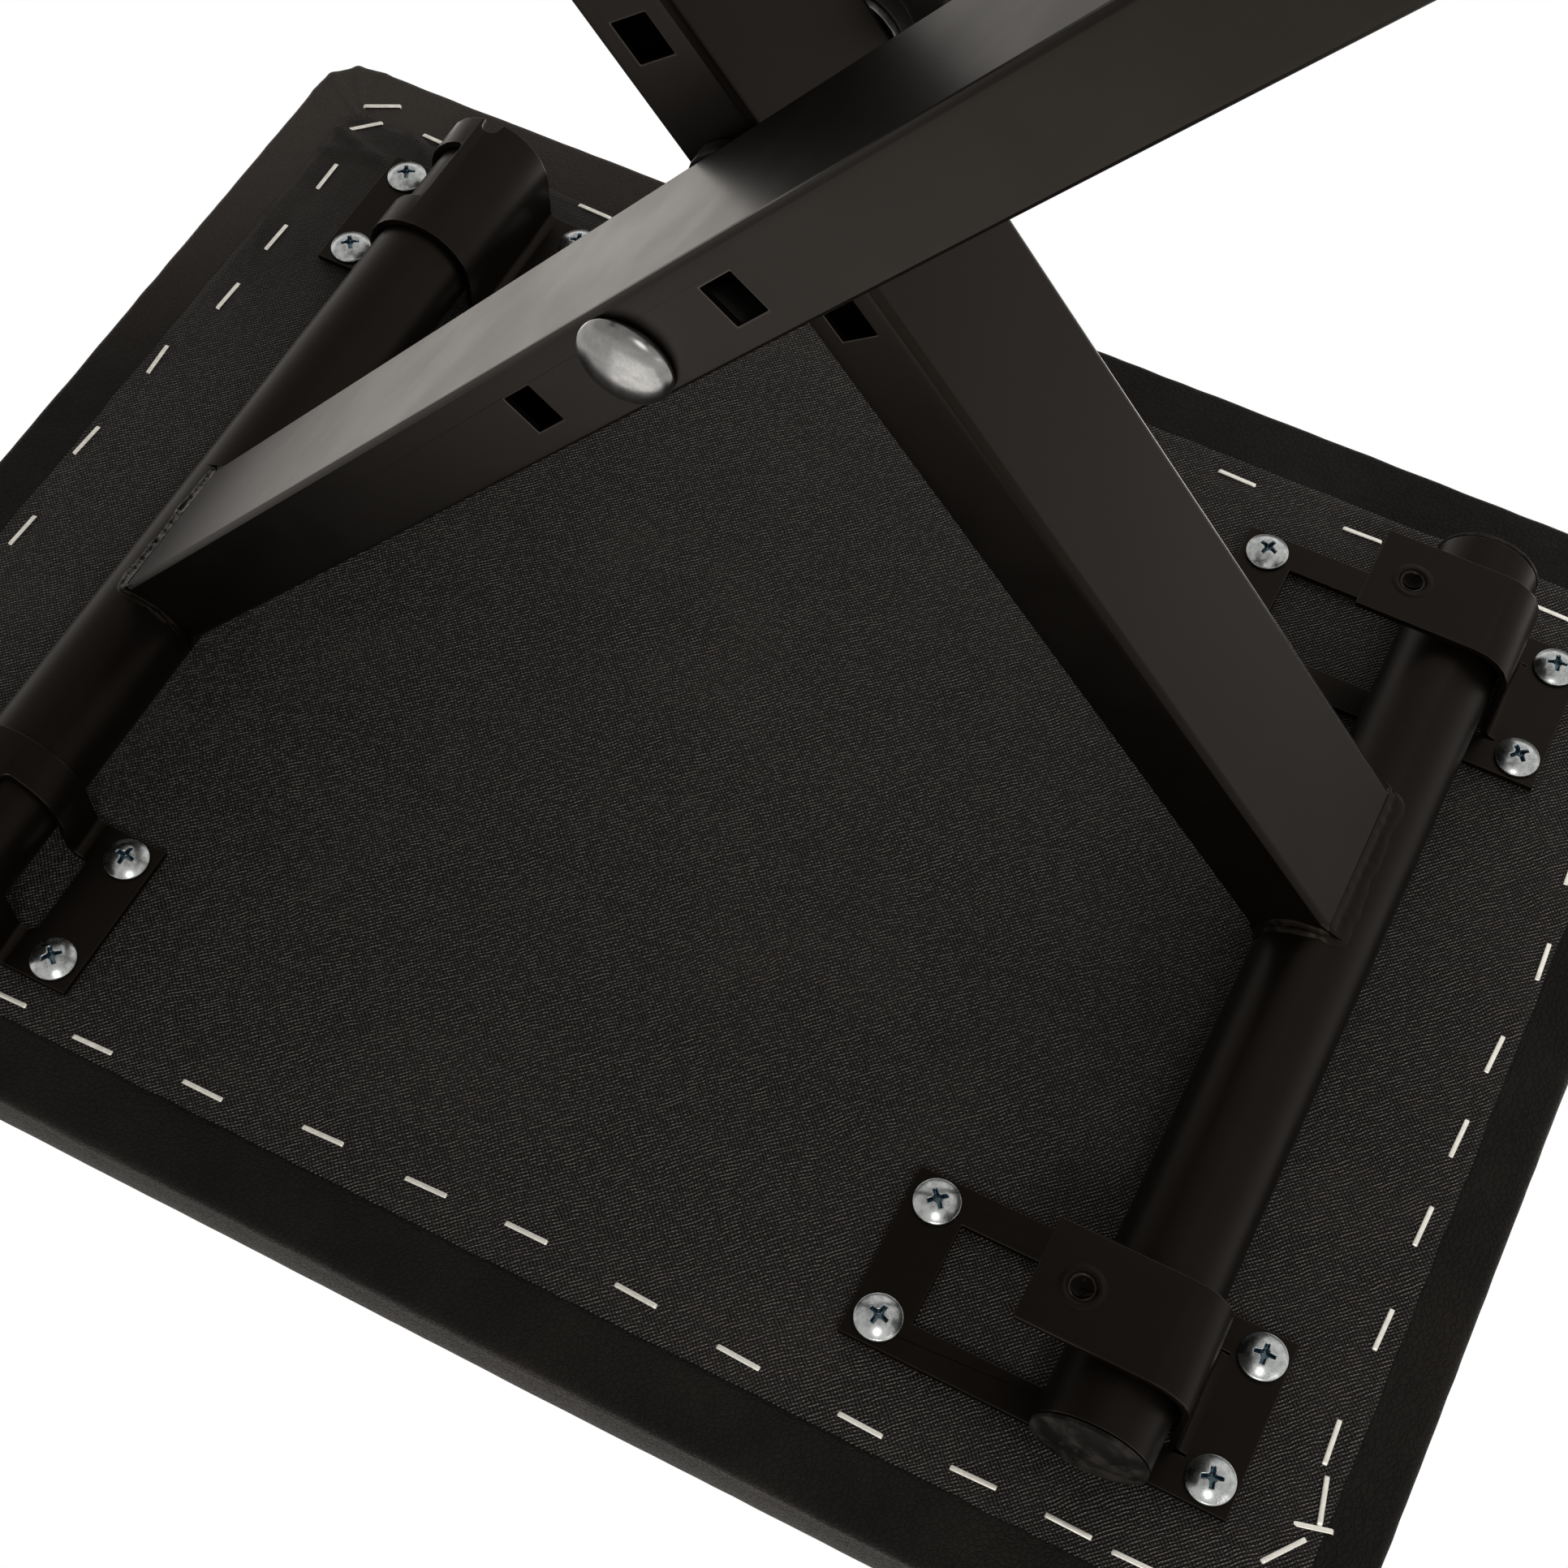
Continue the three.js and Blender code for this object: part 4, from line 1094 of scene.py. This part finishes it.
def cross_depth(x, y):
    """Share of the recess depth at a place on the head, both in millimetres."""
    reach = 0.0
    for long, wide in ((x, y), (y, x)):
        arm = 0.62 - 0.07 * abs(long)
        side = clamped((arm + 0.16 - abs(wide)) / 0.32)
        reach = max(reach, side * side * (3 - 2 * side) * clamped((3.0 - abs(long)) / 0.7))
    return max(reach, clamped((1.35 - math.hypot(x, y)) / 0.5))


def turned_profile(name, profile, sides, lift):
    """A closed turned mesh along Z from (radius, height) pairs that start and end on the axis."""
    points = [(0.0, 0.0, profile[0][1])]
    for radius, height in profile[1:-1]:
        for side in range(sides):
            angle = 2 * math.pi * side / sides
            points.append((radius * math.cos(angle), radius * math.sin(angle), height))
    points.append((0.0, 0.0, profile[-1][1]))
    points = [tuple(value * MM for value in lift(*point)) for point in points]
    faces = [face[::-1] for face in closed_stack(points, sides)]
    mesh = mesh_of(name, points, faces)
    mesh.validate()
    return mesh


def screw_mesh():
    head, rise, rim = 6.7, 3.4, 0.6
    dome = (head * head + (rise - rim) ** 2) / (2 * (rise - rim))
    profile = [(0.0, -rise)]
    for step in range(1, 31):
        radius = 6.4 * step / 30
        profile.append((radius, -rise + dome - math.sqrt(dome * dome - radius * radius)))
    edge = -profile[-1][1]
    for sine, cosine in quarter(5, 1):
        profile.append((6.4 + 0.3 * sine, -0.25 - (edge - 0.25) * cosine))
    profile += [(head, -0.15), (head - 0.15, 0.0), (2.4, 0.0), (2.3, 1.0)]
    for turn in range(9):
        base = 1.6 + 1.3 * turn
        profile += [(1.75, base), (2.3, base + 0.45), (2.3, base + 0.6), (1.75, base + 1.05)]
    profile += [(1.5, 13.4), (0.6, 14.8), (0.0, 15.4)]

    def sink(x, y, z):
        return x, y, z + 2.3 * cross_depth(x, y) if z < -edge else z

    return turned_profile("wood_screw", profile, 72, sink)


screw_shape = screw_mesh()
screw_shape.materials.append(screw_zinc)
screw_turns = {
    "hook_screw_front_": (16, 49, 73, 85),
    "hook_screw_rear_": (None, 20, 48, 77),
    "saddle_screw_front_": (41, 4, None, None),
    "saddle_screw_rear_": (None, None, 55, 60),
}
for order, name in enumerate(named("hook_screw", "saddle_screw")):
    low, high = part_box(name)
    seen_turn = screw_turns[name[:-1]][int(name[-1]) - 1]
    turn = order * 137 if seen_turn is None else seen_turn
    screw = add_object("detailed_" + name, screw_shape)
    screw.location = ((low.x + high.x) / 2, (low.y + high.y) / 2, low.z + 3.4 * MM)
    screw.rotation_euler = (0, 0, math.radians(turn))
    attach(screw, "seat")
    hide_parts(name)
print("screw mesh:", len(screw_shape.polygons), "faces")

# %% [markdown]
# ## Carriage bolt
#
# The pivot is a carriage bolt: a smooth dome, a square neck that the leg's square hole holds, and
# a shank through both legs to the knob. It is turned in one piece here, with the neck's rings
# pulled out to a square.

# %% The bolt
bolt_low, bolt_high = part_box("pivot_bolt")


def bolt_mesh():
    head, rise, rim, neck_half = 11.5, 5.6, 0.8, 5.2
    length = (bolt_high.y - bolt_low.y) / MM - rise
    profile = [(0.0, -rise)]
    profile += [(head * sine, -rim - (rise - rim) * cosine) for sine, cosine in quarter(24, 1)]
    profile += [(head, -0.3), (head - 0.3, 0.0), (6.6, 0.0)]
    profile += [(6.5, 0.2), (6.5, 6.2), (4.9, 6.9), (4.9, length - 30)]
    pitch = 1.5
    for turn in range(int(29 / pitch)):
        base = length - 29.5 + turn * pitch
        profile += [(4.9, base), (4.9, base + 0.3), (4.25, base + 0.7), (4.25, base + 0.9)]
    profile += [(4.9, length - 1.0), (3.9, length), (0.0, length)]

    def square(x, y, z):
        grow = 1.0
        if 0.1 < z < 6.5:
            flat = neck_half / max(abs(x), abs(y))
            grow = min(neck_half * math.sqrt(2) * 0.95 / math.hypot(x, y), flat)
        return x * grow, y * grow, z

    return turned_profile("carriage_bolt", profile, 64, square)


bolt = add_object("carriage_bolt", bolt_mesh())
bolt.data.materials.append(bolt_zinc)
bolt.matrix_world = (
    Matrix.Translation((pivot.x, bolt_low.y + 5.6 * MM, pivot.z))
    @ Matrix.Rotation(lean, 4, "Y")
    @ Matrix.Rotation(-math.pi / 2, 4, "X")
)
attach(bolt, "hinge_frame")
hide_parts("pivot_bolt")
print("bolt", round((bolt_high.y - bolt_low.y) / MM, 1), "mm long")

# %% [markdown]
# ## Weld beads
#
# Each leg is welded to its round tubes. The bead fills the corner between leg and tube: it is
# flat and wide along the leg's broad sides, and a small hollow fillet along the narrow ones. It
# starts and ends in lumps, and it meets both pieces in a thin wandering edge. The section is
# laid on the two surfaces and lifted off them, so that no gap opens anywhere.


# %% Line of the joint and the bead along it
def joint_line(step):
    """Points round the leg's end: across the leg, along the tube, and height above the axis."""
    loop = rounded_loop(LEG_HALF_X, LEG_HALF_Y, LEG_CORNER, 0.0, 5, 1, 1)
    dense = []
    for index, start in enumerate(loop):
        end = loop[(index + 1) % len(loop)]
        pieces = max(1, round(math.dist(start, end) / step))
        for part in range(pieces):
            share = part / pieces
            dense.append([a + (b - a) * share for a, b in zip(start, end)])
    radius = tube_radius / MM
    return [(x, y, math.sqrt(radius * radius - x * x)) for x, y, _ in dense]


def past_corner(value, half):
    flat = half - LEG_CORNER
    return value - max(min(value, flat), -flat)


def bead_section(x, y, z, travelled, seed, lumpy):
    """One section of the bead, from its edge on the tube to its edge on the leg and back inside."""
    radius = tube_radius / MM
    over_x, over_y = past_corner(x, LEG_HALF_X), past_corner(y, LEG_HALF_Y)
    leg_out = Vector((over_x, over_y, 0)).normalized()
    tube_out = Vector((x, 0, z)) / radius
    up_leg = Vector((0, 0, 1))
    over_tube = (leg_out - tube_out * leg_out.dot(tube_out)).normalized()
    between = (leg_out + tube_out).normalized()
    square = 1 + up_leg.dot(over_tube)
    at_corner = min(abs(over_x), abs(over_y)) / LEG_CORNER
    wander = noise.noise(Vector((travelled / 6, seed, 0.5)))
    on_leg = 4.0 - 1.6 * square
    on_tube = (4.0 - 1.5 * square) * (1 + 0.45 * wander) * (1 - 0.35 * lumpy)
    full = (0.4 + 0.85 * square + 0.5 * at_corner) * (1 - 0.2 * lumpy)
    lumpy *= 1 - 0.7 * square
    full += lumpy * max(0.0, noise.noise(Vector((travelled / 2.6, seed, 5.5))))
    here = Vector((x, y, z))
    points = []
    for share in (-1.0, -0.93, -0.8, -0.6, -0.4, -0.2, 0.0, 0.3, 0.6, 0.85, 1.0):
        if share < 0:
            far = -share * on_tube
            sink = far * far / (2 * radius) * (1 - over_tube.y**2)
            base = here + over_tube * far - tube_out * sink
            lift = (tube_out * -share + between * (1 + share)).normalized()
        else:
            base = here + up_leg * share * on_leg
            lift = (leg_out * share + between * (1 - share)).normalized()
        flow = noise.noise(Vector((travelled / 2.4, share * 1.6 + travelled / 9, seed)))
        pit = noise.noise(Vector((travelled, share * 1.7, seed + 9)))
        height = full * (1 - abs(share) ** 1.8) * (1 + 0.3 * flow)
        height -= lumpy * 2.2 * max(0.0, pit - 0.18) * (1 - share * share)
        points.append((base + lift * (height - 0.06)) * MM)
    return points + [(here - between * 1.2) * MM]


def bead_mesh(name, seed, lumpy):
    line = joint_line(0.5)
    points, travelled = [], 0.0
    for index, place_here in enumerate(line):
        travelled += math.dist(line[index - 1], place_here)
        points += bead_section(*place_here, travelled, seed, lumpy)
    total, sides = len(points), len(points) // len(line)
    faces = []
    for low in range(0, total, sides):
        high = (low + sides) % total
        for turn in range(sides):
            other = (turn + 1) % sides
            faces.append((low + turn, low + other, high + other, high + turn))
    mesh = mesh_of(name, points, faces)
    work = bmesh.new()
    work.from_mesh(mesh)
    bmesh.ops.recalc_face_normals(work, faces=work.faces)
    work.to_mesh(mesh)
    work.free()
    return mesh


joints = (
    ("hinge_top_weld", "hinge_frame", "hinge_leg", hinge_tube, 1, 1.0),
    ("hinge_foot_weld", "hinge_frame", "hinge_leg", hinge_foot, 2, 0.4),
    ("hook_top_weld", "hook_frame", "hook_leg", hook_tube, 3, 0.0),
    ("hook_foot_weld", "hook_frame", "hook_leg", hook_foot, 4, 0.4),
)
for name, body, leg, axis, seed, lumpy in joints:
    bead = add_object(name, bead_mesh(name, seed, lumpy))
    bead.data.materials.append(flowed_coat if lumpy == 1.0 else powder_coat)
    towards = pivot - axis
    turn = Matrix.Rotation(math.atan2(towards.x, towards.z), 4, "Y")
    bead.matrix_world = Matrix.Translation((axis.x, middle(leg).y, axis.z)) @ turn
    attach(bead, body)
print(len(joints), "weld beads")

# %% [markdown]
# ## Studio
#
# The bench stands on a plain pale floor. The photograph looks at it from below, so the camera is
# under that floor, and the floor is clear when it is seen from its back. Three soft lamps light
# the bench from above and three from below reach the underside. The world is white where the
# camera or a reflection sees it.


# %% Floor
def seen_directly(tree):
    """1 for the rays by which the camera, a reflection or a clear body sees a surface."""
    path = place(tree, "LightPath").outputs
    seen = larger(tree, path["Is Camera Ray"], path["Is Glossy Ray"])
    return larger(tree, seen, path["Is Transmission Ray"])


def make_floor(half):
    corners = [(-half, -half, 0), (half, -half, 0), (half, half, 0), (-half, half, 0)]
    floor = add_object("floor", mesh_of("floor", corners, [(0, 1, 2, 3)]))
    material, tree, shader, where = start_finish("pale_floor", Specular_IOR_Level=0.1, Roughness=0.9)
    shade = tint(tree, speckle(tree, where, 3.0, 3.0), (0.48, 0.48, 0.48), (0.51, 0.51, 0.51))
    colour = tint(tree, seen_directly(tree), shade, (0.86, 0.855, 0.845))
    tree.links.new(colour, shader.inputs["Base Color"])
    back = place(tree, "NewGeometry").outputs["Backfacing"]
    distance = vector_math(tree, "LENGTH", where)["Value"]
    fade = larger(tree, back, ramp(tree, distance, 1.0, 2.8))
    clear = place(tree, "BsdfTransparent").outputs[0]
    mix = place(tree, "MixShader", {0: fade, 1: shader.outputs[0], 2: clear})
    tree.links.new(mix.outputs[0], tree.nodes["Material Output"].inputs["Surface"])
    floor.data.materials.append(material)
    floor.visible_shadow = False
    return floor


floor = make_floor(3.0)


# %% World and lamps
def make_world(level):
    world = bpy.data.worlds.new("studio")
    bpy.context.scene.world = world
    world.use_nodes = True
    tree = world.node_tree
    tree.nodes.clear()
    strength = calc(tree, "MULTIPLY_ADD", seen_directly(tree), 1.0 - level, level)
    by_camera = place(tree, "LightPath").outputs["Is Camera Ray"]
    shade = tint(tree, by_camera, (1.0, 0.95, 0.9), (1, 1, 1))
    light = place(tree, "Background", {"Color": shade, "Strength": strength})
    sink = tree.nodes.new("ShaderNodeOutputWorld")
    tree.links.new(light.outputs[0], sink.inputs["Surface"])


def add_lamp(name, place_at, aim, size, watts):
    light = set_up(bpy.data.lights.new(name, "AREA"), shape="RECTANGLE", energy=watts)
    set_up(light, size=size[0], size_y=size[1], color=(1.0, 0.95, 0.89))
    turn = (Vector(aim) - Vector(place_at)).to_track_quat("-Z", "Y").to_euler()
    lamp = add_object(name, light)
    set_up(lamp, location=place_at, rotation_euler=turn, visible_camera=False)


make_world(0.45)
middle_of_bench, underside = (0, 0, 0.35), (0, 0, 0.49)
lamps = (
    ("front", (-0.1, -1.7, 1.7), middle_of_bench, (2.0, 2.0), 16),
    ("side", (1.25, 0.9, 1.25), middle_of_bench, (0.7, 0.7), 2.5),
    ("back", (-0.9, 1.8, 1.5), middle_of_bench, (1.6, 1.0), 16),
    ("below", (-0.36, -0.77, -0.33), underside, (0.2, 0.2), 3.0),
    ("below_left", (-1.1, -0.5, -0.2), underside, (0.8, 0.6), 4.0),
    ("below_back", (-0.35, 0.75, -0.35), underside, (0.9, 0.7), 3.5),
)
for lamp in lamps:
    add_lamp(*lamp)
print("world and", len(lamps), "lamps")

# %% [markdown]
# ## Camera
#
# The photograph's camera was worked out from straight edges and screw places of known size. It
# stands low in front, under the floor's level, and looks up at the underside, turned so that the
# tubes run from lower left to upper right.

# %% Camera
camera_data = bpy.data.cameras.new("photo")
set_up(camera_data, sensor_width=36, lens=36 * 3165.486 / 1932, clip_start=0.01)
camera = add_object("photo", camera_data)
right = (-0.891423, 0.453019, -0.011787)
down = (-0.394217, -0.762363, 0.513220)
ahead = (0.223513, 0.462143, 0.858176)
stands = (-0.187984, -0.353301, -0.158998)
rows = [[right[i], -down[i], -ahead[i], stands[i]] for i in range(3)]
camera.matrix_world = Matrix(rows + [[0, 0, 0, 1]])
bpy.context.scene.camera = camera
bpy.context.scene.view_settings.view_transform = "Standard"
print("camera lens", round(camera_data.lens, 2), "mm")
